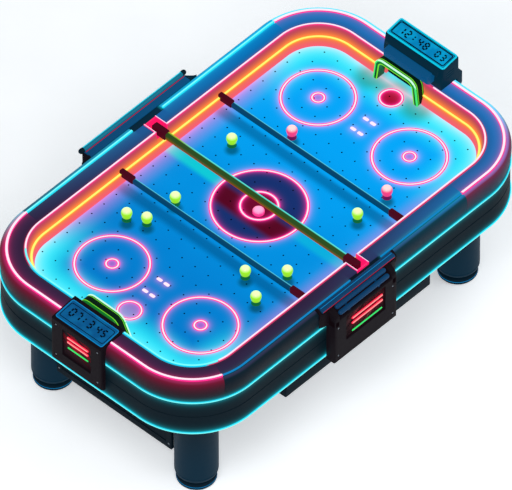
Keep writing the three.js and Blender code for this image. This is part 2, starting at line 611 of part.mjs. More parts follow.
function trayHousing() {
  const flare = 60; // each end slopes back to the cabinet
  const outline = [
    [TRAY_X - TRAY_HALF - flare, CONSOLE_BACK], [TRAY_X + TRAY_HALF + flare, CONSOLE_BACK],
    [TRAY_X + TRAY_HALF, TRAY_OUT], [TRAY_X - TRAY_HALF, TRAY_OUT],
  ];
  const body = upright(outline, TRAY_BOTTOM, TRAY_TOP);
  const [left, right] = [TRAY_X - TRAY_HALF + 6, TRAY_X + TRAY_HALF - 6];
  const hollow = box(left, right, CONSOLE_BACK + 4, TRAY_OUT - 5, TRAY_BOTTOM + 8, TRAY_TOP + 10);
  const lugs = [-1, 1].map((side) => {
    const xs = [TRAY_X + side * (LID_HALF - LID_INSET + 2), TRAY_X + side * (LID_HALF - LID_INSET + 10)];
    return box(...ordered(...xs), LID_HINGE[0] - 4, LID_HINGE[0] + 12, TRAY_TOP - 10, RAIL_TOP + 2);
  });
  return join(cut(body, hollow), ...lugs);
}

// The lid hinges at the rail side and carries a handle bar along its free edge.
const HANDLE_SIDE = [
  [TRAY_OUT - 22, 792], [TRAY_OUT + 2, 792], [TRAY_OUT + 6, 798], [TRAY_OUT + 3, 810],
  [TRAY_OUT - 6, 814], [TRAY_OUT - 18, 812], [TRAY_OUT - 24, 802],
];
const trayLid = () => join(
  box(TRAY_X - LID_HALF + LID_INSET, TRAY_X + LID_HALF - LID_INSET, LID_HINGE[0] - 4, TRAY_OUT - 2,
    TRAY_TOP + GAP, TRAY_TOP + 10),
  prismX(HANDLE_SIDE, TRAY_X - LID_HALF, TRAY_X + LID_HALF),
);

// ---------------------------------------------------------------- legs and feet

const LEG_TOP = BASE_BOTTOM - GAP;
const LEG_BOTTOM = 46;
const STUD_RADIUS = 12;
const legPlaces = [["near_left", -1, 1], ["near_right", -1, -1], ["far_left", 1, 1], ["far_right", 1, -1]];
const leg = () => turned([
  [0, LEG_BOTTOM + 62], [STUD_RADIUS + GAP, LEG_BOTTOM + 62], [STUD_RADIUS + GAP, LEG_BOTTOM],
  [LEG_RADIUS - 12, LEG_BOTTOM], [LEG_RADIUS - 4, LEG_BOTTOM + 8], [LEG_RADIUS, LEG_BOTTOM + 22],
  [LEG_RADIUS, LEG_TOP], [0, LEG_TOP],
]);
const foot = () => turned([
  [0, 0], [FOOT_RADIUS - 16, 0], [FOOT_RADIUS - 4, 8], [FOOT_RADIUS, 20], [FOOT_RADIUS, 34],
  [FOOT_RADIUS - 6, 40], [STUD_RADIUS, 40], [STUD_RADIUS, LEG_BOTTOM + 50], [0, LEG_BOTTOM + 50],
]);

// ---------------------------------------------------------------- underframe and blower

const BOX_X = 443;
const BOX_Y = 585;
const BOX_BOTTOM = 325;
const serviceBox = () => cut(
  box(-BOX_X, BOX_X, -BOX_Y, BOX_Y, BOX_BOTTOM, BASE_BOTTOM - GAP),
  box(-BOX_X + 16, BOX_X - 16, -BOX_Y + 16, BOX_Y - 16, BOX_BOTTOM + 16, BASE_BOTTOM + 5),
  ...[-2, -1, 0, 1, 2].map((i) => box(-120, 120, i * 36 - 9, i * 36 + 9, BOX_BOTTOM - 5, BOX_BOTTOM + 20)),
  box(BOX_X - 20, BOX_X + 5, 200, 247, 400, 427),
);

const APRON_X = 856;
const APRON_HALF = 329;
const APRON_BOTTOM = 150;
const endApron = () => cut(
  box(-9, 9, -APRON_HALF, APRON_HALF, APRON_BOTTOM, LEG_TOP),
  box(-20, -3, -APRON_HALF + 30, APRON_HALF - 30, APRON_BOTTOM + 30, LEG_TOP - 30),
);

const FLOOR = BOX_BOTTOM + 16 + GAP; // the service box's inside floor
// A drum with an inlet in its floor and a duct up to the plenum.
function blowerHousing() {
  const drum = cylinder(165, FLOOR + 24, FLOOR + 120, BLOWER_X, 0, 24);
  const duct = cylinder(DUCT_RADIUS, FLOOR + 60, BASE_TOP, DUCT_X, 0);
  const posts = [45, 135, 225, 315].map((a) => {
    const t = THREE.MathUtils.degToRad(a);
    return cylinder(9, FLOOR, FLOOR + 30, BLOWER_X + 150 * Math.cos(t), 150 * Math.sin(t), 8);
  });
  return cut(join(drum, duct, ...posts),
    cylinder(160, FLOOR + 29, FLOOR + 115, BLOWER_X, 0, 24),
    cylinder(DUCT_RADIUS - 5, FLOOR + 62, BASE_TOP + 5, DUCT_X, 0),
    cylinder(95, FLOOR + 10, FLOOR + 40, BLOWER_X, 0, 24));
}

const IMPELLER_BLADES = 12;
function blowerImpeller() {
  const z = FLOOR + 44;
  const blades = Array.from({ length: IMPELLER_BLADES }, (_, i) =>
    new THREE.BoxGeometry(34, 4, 52).rotateZ(0.7).translate(105, 0, z + 29)
      .rotateZ((i * 2 * Math.PI) / IMPELLER_BLADES).translate(BLOWER_X, 0, 0));
  const disc = turned([
    [9, z], [130, z], [130, z + 5], [30, z + 5], [24, z + 34], [9, z + 34], [9, z],
  ], BLOWER_X, 0, 24);
  return join(disc, ...blades);
}

const blowerMotor = () => turned([
  [0, FLOOR], [62, FLOOR], [62, FLOOR + 30], [48, FLOOR + 38], [8.5, FLOOR + 38], [8.5, FLOOR + 82],
  [0, FLOOR + 82],
], BLOWER_X, 0);

// ---------------------------------------------------------------- bars over the rink

const CENTRE_BAR = { width: 23, height: 33, top: RAIL_TOP - 3, halfLength: 585 };
const CROSS_BAR = { width: 17, height: 25, top: 763, halfLength: 526 };
const CROSS_BARS = { near: -264, far: 337 };
const END_BLOCK = 78; // length of the block at each end of a bar

function bar({ width, height, top, halfLength }, block) {
  const rod = box(-width / 2, width / 2, -halfLength, halfLength, top - height, top);
  const end = (y0, y1) => box(-block.width / 2, block.width / 2, y0, y1, block.bottom, block.top);
  return join(rod, end(-halfLength, -halfLength + END_BLOCK), end(halfLength - END_BLOCK, halfLength));
}
const centreBar = () => bar(CENTRE_BAR, { width: 34, bottom: NOTCH_FLOOR + GAP, top: RAIL_TOP + 2 });
// A cross bar rests against the walls, and each end is cut away under the edge to clear the wall's light tube.
const TUBE_ROOM = { y: RINK_Y - 29, top: PLAY + 57 };
const crossBar = () => cut(
  bar(CROSS_BAR, { width: 25, bottom: CROSS_BAR.top - 27, top: CROSS_BAR.top + 9 }),
  ...[-1, 1].map((side) =>
    box(-20, 20, ...ordered(side * TUBE_ROOM.y, side * RINK_Y), PLAY, TUBE_ROOM.top)),
);

// ---------------------------------------------------------------- assembly

const table = new THREE.Group();
function add(name, geometry, finish, parent = table) {
  const mesh = new THREE.Mesh(geometry, finish);
  mesh.name = name;
  parent.add(mesh);
  return mesh;
}
// An empty group at x, y, z, turned half round if end is -1.
function place(x, y, z, end = 1) {
  const group = new THREE.Group();
  group.position.set(x, y, z);
  if (end < 0) group.rotation.z = Math.PI;
  table.add(group);
  return group;
}

add("cabinet_shell", cabinetShell(), NAVY);
add("base_panel", basePanel(), NAVY);
add("playfield", playfield(), PLAYFIELD);
add("rink_wall", rinkWall(), WALL_COLOUR);
add("rail_end_near", railEndNear(), RAIL);
add("rail_end_far", railEndFar(), RAIL);
add("rail_side_left", railSide(LEFT_SIDE, 1), RAIL);
add("rail_side_right", railSide(RIGHT_SIDE, -1), RAIL);

add("end_led_near", endLedNear(), PINK);
add("end_led_far", edgeLed(FAR_END), PINK);
add("side_led_left_near", edgeLed([onLeft(-SIDE_LED_GAP), LEFT_SIDE.at(-1)]), CYAN);
add("side_led_left_far", edgeLed([...LEFT_SIDE.slice(0, -1), onLeft(SIDE_LED_GAP)]), CYAN);
add("side_led_right_near", edgeLed([...RIGHT_SIDE.slice(0, -1), onRight(-SIDE_LED_GAP)]), CYAN);
add("side_led_right_far", edgeLed([onRight(SIDE_LED_GAP), RIGHT_SIDE.at(-1)]), CYAN);
add("upper_led", cabinetLed(UPPER_LED), CYAN);
add("lower_led", cabinetLed(LOWER_LED), CYAN);

for (const [name, side] of [["left", 1], ["right", -1]]) {
  add("bar_saddle_" + name, barSaddle(), PINK, place(0, 0, 0, side));
  add("wall_led_" + name, wallLed(side), AMBER);
}
for (const [name, goal] of Object.entries(GOALS)) {
  const goalLine = place(goal.end * RINK_X, goal.y, PLAY, goal.end);
  add("goal_frame_" + name, goalFrame(goal), GREEN, goalLine);
  add("goal_pocket_" + name, goalPocket(), RUBBER, goalLine);
}
add("scoreboard_near", nearScoreboard(), NAVY);
add("scoreboard_far", farScoreboard(), NAVY);
add("display_near", nearDisplay(), DISPLAY);
add("display_far", farDisplay(), DISPLAY);

add("console_housing", consoleHousing(), NAVY);
add("console_hood", consoleHood(), RAIL);
for (const [name, middle] of Object.entries(PUSH_BARS)) add("push_bar_" + name, pushBar(middle), RAIL);
add("tray_housing", trayHousing(), NAVY);
add("tray_lid", trayLid(), RAIL);

for (const [name, sx, sy] of legPlaces) {
  const corner = place(sx * LEG_X, sy * LEG_Y, 0);
  add("leg_" + name, leg(), NAVY, corner);
  add("foot_" + name, foot(), RUBBER, corner);
}
add("service_box", serviceBox(), NAVY);
for (const [name, end] of [["near", -1], ["far", 1]])
  add("end_apron_" + name, endApron(), NAVY, place(end * APRON_X, 0, 0, end));
add("blower_housing", blowerHousing(), RUBBER);
add("blower_impeller", blowerImpeller(), METAL);
add("blower_motor", blowerMotor(), METAL);

add("centre_bar", centreBar(), OLIVE);
for (const [name, x] of Object.entries(CROSS_BARS)) {
  add("cross_bar_" + name, crossBar(), RAIL, place(x, 0, 0));
}
add("puck", puck(), PINK, place(...PUCK, PLAY));
for (const [name, at] of Object.entries(GREEN_PEGS)) {
  add("green_peg_" + name, peg(), LIME, place(...at, PLAY));
}
for (const [name, at] of Object.entries(PINK_PEGS)) {
  add("pink_peg_" + name, peg(), PINK, place(...at, PLAY));
}
for (const [name, pair] of Object.entries(TWIN_PEGS)) {
  add("green_peg_pair_" + name, twinPeg(pair), LIME, place(...pair[0], PLAY));
}

export default table;
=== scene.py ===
"""The air hockey table's looks: neon trim, lit playing surface, rounded rails and detailed fittings.

Sizes are in metres, in the CAD frame: the origin is on the floor under the middle of the table, +X runs to
the far scoreboard, +Y to the side with the puck tray, +Z up.
"""

import functools
import json
import math

import bmesh
import bpy
from mathutils import Matrix, Vector


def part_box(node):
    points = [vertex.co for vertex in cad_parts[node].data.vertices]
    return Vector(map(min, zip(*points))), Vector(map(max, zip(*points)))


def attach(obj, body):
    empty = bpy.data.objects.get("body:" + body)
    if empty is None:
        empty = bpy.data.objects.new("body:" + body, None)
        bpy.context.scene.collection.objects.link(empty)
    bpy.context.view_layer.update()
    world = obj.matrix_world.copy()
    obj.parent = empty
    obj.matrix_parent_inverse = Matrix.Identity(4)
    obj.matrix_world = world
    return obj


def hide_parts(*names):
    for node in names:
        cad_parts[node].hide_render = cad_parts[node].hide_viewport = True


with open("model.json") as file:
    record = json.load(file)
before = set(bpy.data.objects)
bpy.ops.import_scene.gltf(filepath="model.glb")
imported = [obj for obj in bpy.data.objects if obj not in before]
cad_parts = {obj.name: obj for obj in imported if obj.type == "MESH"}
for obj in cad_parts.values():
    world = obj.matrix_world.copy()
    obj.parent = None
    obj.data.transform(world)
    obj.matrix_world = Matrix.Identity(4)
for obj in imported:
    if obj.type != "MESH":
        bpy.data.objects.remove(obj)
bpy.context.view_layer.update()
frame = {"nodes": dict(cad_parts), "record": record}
NODES = frame["nodes"]
SLOTS = {s["node"]: s["material_slot"] for s in frame["record"]["subparts"]}
BODIES = {}
for body, members in frame["record"]["behaviour"]["bodies"].items():
    for member in members:
        BODIES[member] = body

# ---------------------------------------------------------------- driving dimensions, from the frame

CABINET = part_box("cabinet_shell")
HALF_L, HALF_W = CABINET[1].x, CABINET[1].y
CORNER = 0.320
ROUND_STEPS = 36
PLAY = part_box("playfield")[1].z
RAIL_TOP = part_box("rail_side_left")[1].z
RAIL_WIDTH = 0.110
WALL_SLOPE = 0.030
EDGE_INSET = 0.027
UPPER_Z = sum(corner.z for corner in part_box("upper_led")) / 2
LOWER_Z = sum(corner.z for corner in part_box("lower_led")) / 2
TUBE_Z = PLAY + 0.046
TUBE_INSET = RAIL_WIDTH + WALL_SLOPE * (RAIL_TOP - TUBE_Z) / (RAIL_TOP - PLAY) + 0.004
RIM_INSET = RAIL_WIDTH - 0.001
STRIP_GAP = 0.095 # from the middle of the table to where each side strip starts


def srgb(red, green, blue):
    """A colour given in 0 to 255 steps, as the linear values that shaders take."""
    def linear(step):
        share = step / 255
        return share / 12.92 if share <= 0.04045 else ((share + 0.055) / 1.055) ** 2.4

    return (linear(red), linear(green), linear(blue))


PINK = srgb(255, 45, 130)
CYAN = srgb(30, 235, 255)
RED = srgb(255, 30, 60)
MARK_GLOW = srgb(255, 50, 160)

# ---------------------------------------------------------------- view and light

VIEW_AZIMUTH, VIEW_ELEVATION = math.radians(-46.82), math.radians(47.02)
VIEW_WIDTH = 2.138
VIEW_CENTRE = Vector((0, 0, 0.484))
LENS, SENSOR = 1500, 36


def make_camera():
    data = bpy.data.cameras.new("view")
    data.lens, data.sensor_width = LENS, SENSOR
    data.clip_end = 300
    camera = bpy.data.objects.new("view", data)
    back = Vector((
        math.sin(VIEW_AZIMUTH) * math.cos(VIEW_ELEVATION),
        -math.cos(VIEW_AZIMUTH) * math.cos(VIEW_ELEVATION),
        math.sin(VIEW_ELEVATION),
    ))
    camera.location = VIEW_CENTRE + back * (VIEW_WIDTH * LENS / SENSOR)
    camera.rotation_mode = "QUATERNION"
    camera.rotation_quaternion = (-back).to_track_quat("-Z", "Y")
    bpy.context.collection.objects.link(camera)
    bpy.context.scene.camera = camera


def make_light(name, place, aim, size, energy, colour):
    data = bpy.data.lights.new(name, "AREA")
    data.size, data.energy, data.color = size, energy, colour
    light = bpy.data.objects.new(name, data)
    light.location = place
    light.rotation_mode = "QUATERNION"
    light.rotation_quaternion = (Vector(aim) - Vector(place)).to_track_quat("-Z", "Y")
    bpy.context.collection.objects.link(light)


def make_stage():
    world = bpy.data.worlds.new("studio")
    world.use_nodes = True
    background = world.node_tree.nodes["Background"]
    background.inputs["Color"].default_value = (0.93, 0.97, 1.0, 1)
    background.inputs["Strength"].default_value = 0.42
    bpy.context.scene.world = world
    bpy.context.scene.view_settings.view_transform = "Standard"
    make_light("key", (-2.4, -1.6, 3.8), (0, 0, 0.5), 1.6, 70, (1, 1, 1))
    make_light("fill", (2.2, -3.4, 3.0), (0, 0, 0.4), 3.0, 45, (0.94, 0.98, 1))
    bpy.ops.mesh.primitive_plane_add(size=60)
    floor = bpy.context.object
    floor.name = "floor"
    pale = srgb(246, 248, 250)
    floor.data.materials.append(Paint("floor", pale, roughness=0.95, specular=0.0).glow(pale, 0.5).material)


# ---------------------------------------------------------------- materials

def group(name, inputs, build):
    """A node group with one value out.

    inputs maps names to socket types, and build makes the value from them.
    """
    tree = bpy.data.node_groups.new(name, "ShaderNodeTree")
    for label, kind in inputs.items():
        tree.interface.new_socket(label, in_out="INPUT", socket_type="NodeSocket" + kind)
    tree.interface.new_socket("Value", in_out="OUTPUT", socket_type="NodeSocketFloat")
    entry, end = tree.nodes.new("NodeGroupInput"), tree.nodes.new("NodeGroupOutput")
    steps = Steps(tree)
    tree.links.new(build(steps, *[entry.outputs[label] for label in inputs]), end.inputs[0])
    return tree


class Steps:
    """Shorthand for the nodes of one tree. Every argument may be a number, a colour, a vector or a socket."""

    def __init__(self, tree):
        self.tree = tree

    def put(self, socket, value):
        if isinstance(value, bpy.types.NodeSocket):
            self.tree.links.new(value, socket)
        elif socket.type == "RGBA" and len(value) == 3:
            socket.default_value = (*value, 1)
        else:
            socket.default_value = value

    def math(self, operation, *values):
        node = self.tree.nodes.new("ShaderNodeMath")
        node.operation = operation
        for socket, value in zip(node.inputs, values):
            self.put(socket, value)
        return node.outputs[0]

    def times(self, *values):
        """The product of two or more values."""
        return functools.reduce(lambda first, second: self.math("MULTIPLY", first, second), values)

    def line(self, value, slope, start):
        """value times slope, plus start."""
        return self.math("MULTIPLY_ADD", value, slope, start)

    def absolute(self, value):
        return self.math("ABSOLUTE", value)

    def vector(self, operation, *values, out="Vector"):
        node = self.tree.nodes.new("ShaderNodeVectorMath")
        node.operation = operation
        for socket, value in zip(node.inputs, values):
            self.put(socket, value)
        return node.outputs[out]

    def split(self, vector):
        node = self.tree.nodes.new("ShaderNodeSeparateXYZ")
        self.put(node.inputs[0], vector)
        return node.outputs

    def join(self, x, y, z):
        node = self.tree.nodes.new("ShaderNodeCombineXYZ")
        for socket, value in zip(node.inputs, (x, y, z)):
            self.put(socket, value)
        return node.outputs[0]

    def ramp(self, value, low, high, smooth=True):
        """0 at low, 1 at high, held beyond them."""
        node = self.tree.nodes.new("ShaderNodeMapRange")
        node.interpolation_type = "SMOOTHSTEP" if smooth else "LINEAR"
        for label, number in (("Value", value), ("From Min", low), ("From Max", high)):
            self.put(node.inputs[label], number)
        return node.outputs[0]

    def mix(self, share, first, second, blend="MIX"):
        node = self.tree.nodes.new("ShaderNodeMix")
        node.data_type, node.blend_type = "RGBA", blend
        self.put(node.inputs["Factor"], share)
        colours = [s for s in node.inputs if s.type == "RGBA"]
        self.put(colours[0], first)
        self.put(colours[1], second)
        return next(s for s in node.outputs if s.type == "RGBA")

    def use(self, tree, *values):
        node = self.tree.nodes.new("ShaderNodeGroup")
        node.node_tree = tree
        for socket, value in zip(node.inputs, values):
            self.put(socket, value)
        return node.outputs[0]

    def noise(self, vector, scale, detail=3.0):
        node = self.tree.nodes.new("ShaderNodeTexNoise")
        self.put(node.inputs["Vector"], vector)
        self.put(node.inputs["Scale"], scale)
        self.put(node.inputs["Detail"], detail)
        return node.outputs[0]


def inset_steps(s, place):
    """How far a point is in from the cabinet's plan outline."""
    x, y, _ = s.split(s.vector("ABSOLUTE", place))
    across, along = s.math("SUBTRACT", x, HALF_L - CORNER), s.math("SUBTRACT", y, HALF_W - CORNER)
    corner = s.join(s.math("MAXIMUM", across, 0), s.math("MAXIMUM", along, 0), 0)
    inner = s.math("MINIMUM", s.math("MAXIMUM", across, along), 0)
    return s.math("SUBTRACT", CORNER, s.math("ADD", s.vector("LENGTH", corner, out="Value"), inner))


def fade(s, distance, width):
    return s.math("EXPONENT", s.times(s.math("DIVIDE", distance, width), -1))


def tube_glow_steps(s, inset, z, tube_inset, tube_z, width):
    """Light that falls off with distance from a tube that runs round the table."""
    gap = s.join(s.math("SUBTRACT", inset, tube_inset), s.math("SUBTRACT", z, tube_z), 0)
    return fade(s, s.vector("LENGTH", gap, out="Value"), width)


def ring_glow_steps(s, place, centre, radius, width):
    """Light that falls off with distance from a ring on the playing surface."""
    reach = s.vector("LENGTH", s.vector("SUBTRACT", place, centre), out="Value")
    return fade(s, s.absolute(s.math("SUBTRACT", reach, radius)), width)


GROUPS = {
    "inset": group("inset", {"Place": "Vector"}, inset_steps),
    "tube": group("tube_glow", {"Inset": "Float", "Z": "Float", "Tube Inset": "Float", "Tube Z": "Float",
                                "Width": "Float"}, tube_glow_steps),
    "ring": group("ring_glow", {"Place": "Vector", "Centre": "Vector", "Radius": "Float", "Width": "Float"},
                  ring_glow_steps),
}


class Paint(Steps):
    """A material: base colour, gloss, fine texture, and any light that it gives or catches."""

    def __init__(self, name, colour, roughness=0.5, metallic=0.0, specular=0.5, coat=0.0, **looks):
        self.material = bpy.data.materials.new(name)
        self.material.use_nodes = True
        super().__init__(self.material.node_tree)
        self.shader = self.tree.nodes["Principled BSDF"]
        self.place = self.tree.nodes.new("ShaderNodeTexCoord").outputs["Object"]
        self.x, self.y, self.z = self.split(self.place)
        self.light = None
        self.set("Base Color", colour)
        self.set("Roughness", roughness)
        self.set("Metallic", metallic)
        self.set("Specular IOR Level", specular)
        self.set("Coat Weight", coat)
        self.set("Coat Roughness", 0.15)
        self.texture(colour, roughness, **looks)

    def set(self, label, value):
        self.put(self.shader.inputs[label], value)

    def texture(self, colour, roughness, grain=0.12, scale=60.0, bump=0.0006):
        """Uneven colour and gloss, and a fine moulded surface."""
        patches = self.noise(self.place, 3.5)
        fine = self.noise(self.place, scale, 4.0)
        shade = self.line(self.math("ADD", patches, fine), grain, 1 - grain)
        self.set("Base Color", self.tint(colour, shade))
        self.set("Roughness", self.line(fine, 0.16, roughness - 0.08))
        node = self.tree.nodes.new("ShaderNodeBump")
        node.inputs["Strength"].default_value = 0.35
        node.inputs["Distance"].default_value = bump
        self.put(node.inputs["Height"], fine)
        self.set("Normal", node.outputs[0])

    def tint(self, colour, amount):
        """A colour made lighter or darker by amount."""
        node = self.tree.nodes.new("ShaderNodeVectorMath")
        node.operation = "SCALE"
        self.put(node.inputs[0], colour)
        self.put(node.inputs["Scale"], amount)
        return node.outputs[0]

    @functools.cached_property
    def inset(self):
        """How far each point is in from the cabinet's plan outline."""
        return self.use(GROUPS["inset"], self.place)

    def away(self, place):
        """How far each point is from a place."""
        return self.vector("LENGTH", self.vector("SUBTRACT", self.place, place), out="Value")

    def glow(self, colour, amount):
        """Adds light of one colour. The last call's result is what shows."""
        lit = self.tint(colour, amount)
        self.light = lit if self.light is None else self.vector("ADD", self.light, lit)
        self.set("Emission Color", self.light)
        self.set("Emission Strength", 1.0)
        return self

    def tube_glow(self, colour, inset, z, width, strength):
        amount = self.use(GROUPS["tube"], self.inset, self.z, inset, z, width)
        return self.glow(colour, self.times(amount, strength))


def lamp(name, colour, strength):
    """A lit diffuser. Its own body is dark, so that room light doesn't bleach its colour."""
    paint = Paint(name, (0.02, 0.02, 0.02), roughness=0.4, specular=0.1, grain=0.02)
    streaks = paint.line(paint.noise(paint.place, 25.0), 0.16, 0.92)
    return paint.glow(colour, paint.times(streaks, strength))


def plastic(name, colour, glow, strength, **looks):
    """A plain material that catches an even spill of light."""
    return Paint(name, colour, **looks).glow(glow, strength)


STRIP_GLOW = 0.0085 # how far a strip's light reaches over the surface beside it


def panel_paint(name, colour, **looks):
    """A dark panel that catches light from the two cyan strips round the cabinet."""
    paint = Paint(name, colour, roughness=0.55, specular=0.03, **looks)
    for z in (UPPER_Z, LOWER_Z):
        paint.tube_glow(CYAN, 0.0, z, STRIP_GLOW, 0.55)
        paint.tube_glow(CYAN, 0.0, z, STRIP_GLOW * 3, 0.035)
    return paint.glow(srgb(8, 20, 28), 0.35)


def towards_far_left(paint, low, high):
    """A share that grows from the near right of the table to its far left."""
    return paint.ramp(paint.line(paint.y, 0.45, paint.x), low, high)


def near_end_share(paint):
    """1 along the near end of the rink, where its edge is lit cyan, and 0 elsewhere."""
    return paint.ramp(paint.line(paint.y, 0.107, paint.x), -0.894, -0.910)


def rim_glow(paint, width, strength):
    """Light from the line along the rink's edge: cyan at the near end, pink elsewhere."""
    colour = paint.mix(near_end_share(paint), PINK, CYAN)
    amount = paint.use(GROUPS["tube"], paint.inset, paint.z, RIM_INSET, RAIL_TOP, width)
    return paint.glow(colour, paint.times(amount, strength))


def rail_paint(name, strip, spill, weakest, shoulder_glow):
    """Painted light and shade: dark navy at the near right of the table, blue at the far left, and lit by the
    strip on the rail's edge.

    weakest is the strip's light at the near right, as a share of its light at the far left.
    """
    paint = Paint(name, srgb(14, 16, 34), roughness=0.45, specular=0.04)
    share = towards_far_left(paint, -0.6, 0.95)
    rail_colour(paint, share)
    lit = paint.ramp(paint.absolute(paint.x), STRIP_GAP - 0.015, STRIP_GAP + 0.002)
    strength = paint.times(paint.line(share, 1 - weakest, weakest), lit)
    for width, amount in ((0.007, 0.75), (0.026, 0.09)):
        paint.glow(strip, paint.times(strip_halo(paint, width), strength, amount))
    shoulder_light(paint, spill, paint.times(lit, shoulder_glow))
    rim_glow(paint, 0.005, 0.45)
    return paint.tube_glow(CYAN, 0.0, UPPER_Z, STRIP_GLOW, 0.55)


def rail_colour(paint, share):
    """Painted light and shade: purple to blue on top, near black to teal on the side, and a painted shade
    that darkens it towards the rink.
    """
    top = paint.mix(share, srgb(46, 33, 64), srgb(2, 112, 184))
    side = paint.mix(share, srgb(12, 20, 30), srgb(3, 48, 70))
    colour = paint.mix(paint.ramp(paint.z, RAIL_TOP - 0.010, RAIL_TOP - 0.003), side, top)
    paint.set("Base Color", paint.tint(colour, 0.2))
    # Painted shade: the rail's glow grows weaker towards the rink's edge.
    groove = paint.ramp(paint.inset, 0.06, RAIL_WIDTH)
    paint.glow(colour, paint.line(groove, -0.3, 0.88))


def strip_halo(paint, width):
    return paint.use(GROUPS["tube"], paint.inset, paint.z, EDGE_INSET, RAIL_TOP, width)


def shoulder_light(paint, spill, strength):
    """The strip's own colour spilled down the near shoulders, and cyan down the far ones."""
    outside = paint.ramp(paint.inset, EDGE_INSET + 0.004, EDGE_INSET - 0.006)
    far = paint.ramp(paint.line(paint.x, 0.6, paint.y), 0.0, 0.35)
    near = paint.math("SUBTRACT", 1, far)
    paint.glow(spill, paint.times(strip_halo(paint, 0.020), outside, 0.6, near))
    height = paint.ramp(paint.z, RAIL_TOP - 0.034, RAIL_TOP - 0.008)
    paint.glow(CYAN, paint.times(height, outside, strength, far))


# Marks on the playing surface: each is (x, y), followed by its radius where a list mixes sizes.
FACE_OFF_RINGS = [(-0.633, 0.226), (-0.636, -0.281), (0.647, 0.250), (0.660, -0.260)]
CENTRE = (0.025, 0.005)
CENTRE_RINGS = [(*CENTRE, 0.204), (*CENTRE, 0.080)]
SPOT_RADIUS = 0.026
RINGS = CENTRE_RINGS + [(x, y, radius) for x, y in FACE_OFF_RINGS for radius in (0.158, SPOT_RADIUS)]
CREASES = [(-0.776, -0.009, 0.050), (0.854, 0.026, 0.048)]
TICKS, TICK_Y = [-0.564, -0.651, 0.616, 0.694], 0.020
PEG_CAP = 0.024
BAR_LIGHT = (-0.013, 0.044) # edges of the lit band beside the centre bar
BAR_SHADE = (-0.082, 0.020) # edges of the red shade that it casts on the centre disc


def disc_share(paint, x, y, radius):
    """1 inside a disc on the playing surface, 0 outside."""
    return paint.ramp(paint.away((x, y, PLAY)), radius + 0.002, radius - 0.004)


def soft_spot(paint, x, y, radius, blur):
    """1 near a point of the playing surface, falling to 0 over blur."""
    return paint.ramp(paint.away((x, y, PLAY)), radius + blur, radius)


def peg_places():
    """The middle of each peg, by CAD node. A pair of pegs is one node, set slantwise."""
    places = {}
    for node in NODES:
        if "_peg" in node:
            low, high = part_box(node)
            if "pair_left" in node:
                places[node] = [(low.x + PEG_CAP, high.y - PEG_CAP), (high.x - PEG_CAP, low.y + PEG_CAP)]
            elif "pair" in node:
                places[node] = [(low.x + PEG_CAP, low.y + PEG_CAP), (high.x - PEG_CAP, high.y - PEG_CAP)]
            else:
                places[node] = [((low.x + high.x) / 2, (low.y + high.y) / 2)]
    return places


def field_colour(paint):
    """Blue, with painted light: brighter towards the far end, cyan at both ends and lilac beside the side
    walls.
    """
    shade = paint.noise(paint.place, 2.6)
    along = paint.ramp(paint.line(shade, 0.5, paint.x), -0.6, 1.0)
    base = paint.mix(along, srgb(0, 120, 200), srgb(0, 166, 248))
    at_end = paint.ramp(paint.absolute(paint.x), 0.42, 0.78)
    near_wall = paint.ramp(paint.inset, 0.35, 0.15)
    base = paint.mix(paint.times(near_wall, at_end), base, srgb(40, 240, 255))
    beside = paint.times(paint.ramp(paint.inset, 0.24, 0.14), paint.math("SUBTRACT", 1, at_end))
    return paint.mix(paint.times(beside, 0.6), base, srgb(136, 132, 226))


def field_shadows(paint, base):
    """Darker patches on the near side of the pegs and the cross bars, and green ones by the far goal."""
    for x, y in [place for places in peg_places().values() for place in places]:
        share = soft_spot(paint, x - 0.021, y - 0.020, 0.013, 0.030)
        base = paint.mix(paint.times(share, 0.7), base, srgb(0, 62, 66))
    for node in ("cross_bar_near", "cross_bar_far"):
        low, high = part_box(node)
        share = paint.times(paint.ramp(paint.x, low.x - 0.060, low.x - 0.018),
                            paint.ramp(paint.x, high.x, low.x))
        base = paint.mix(paint.times(share, 0.55), base, srgb(0, 66, 112))
    for y in (-0.094, 0.038, 0.170):
        base = paint.mix(paint.times(soft_spot(paint, 0.885, y, 0.03, 0.075), 0.55), base,
                         srgb(10, 110, 40))
    return base


def band_share(paint, edges, blur):
    """1 between two places along the table, 0 outside them."""
    low, high = edges
    return paint.times(paint.ramp(paint.x, low - blur, low + blur),
                       paint.ramp(paint.x, high + blur, high - blur))


def bar_light(paint, base):
    """The pale band of light that the centre bar throws beside itself, near both walls."""
    beyond_rings = paint.ramp(paint.absolute(paint.y), 0.16, 0.27)
    strength = paint.line(paint.ramp(paint.y, -0.3, 0.3), 0.5, 0.4)
    band = paint.times(band_share(paint, BAR_LIGHT, 0.018), beyond_rings, strength)
    return paint.mix(band, base, srgb(14, 206, 212))


def disc_colours(paint, base):
    """Navy and dark red inside the rings at the centre and the far goal, lilac inside the small ones."""
    outer, inner = CENTRE_RINGS
    base = paint.mix(disc_share(paint, *outer), base, srgb(20, 48, 110))
    # Painted shadow: the dark red band that the centre bar casts across the centre disc.
    shade = paint.times(disc_share(paint, *outer), band_share(paint, BAR_SHADE, 0.022))
    base = paint.mix(shade, base, srgb(84, 6, 34))
    base = paint.mix(disc_share(paint, *inner), base, srgb(110, 6, 44))
    base = paint.mix(disc_share(paint, *CREASES[1]), base, srgb(165, 10, 50))
    for x, y, radius in [(x, y, SPOT_RADIUS) for x, y in FACE_OFF_RINGS] + CREASES[:1]:
        base = paint.mix(paint.times(disc_share(paint, x, y, radius), 0.5), base, srgb(190, 90, 190))
    return base


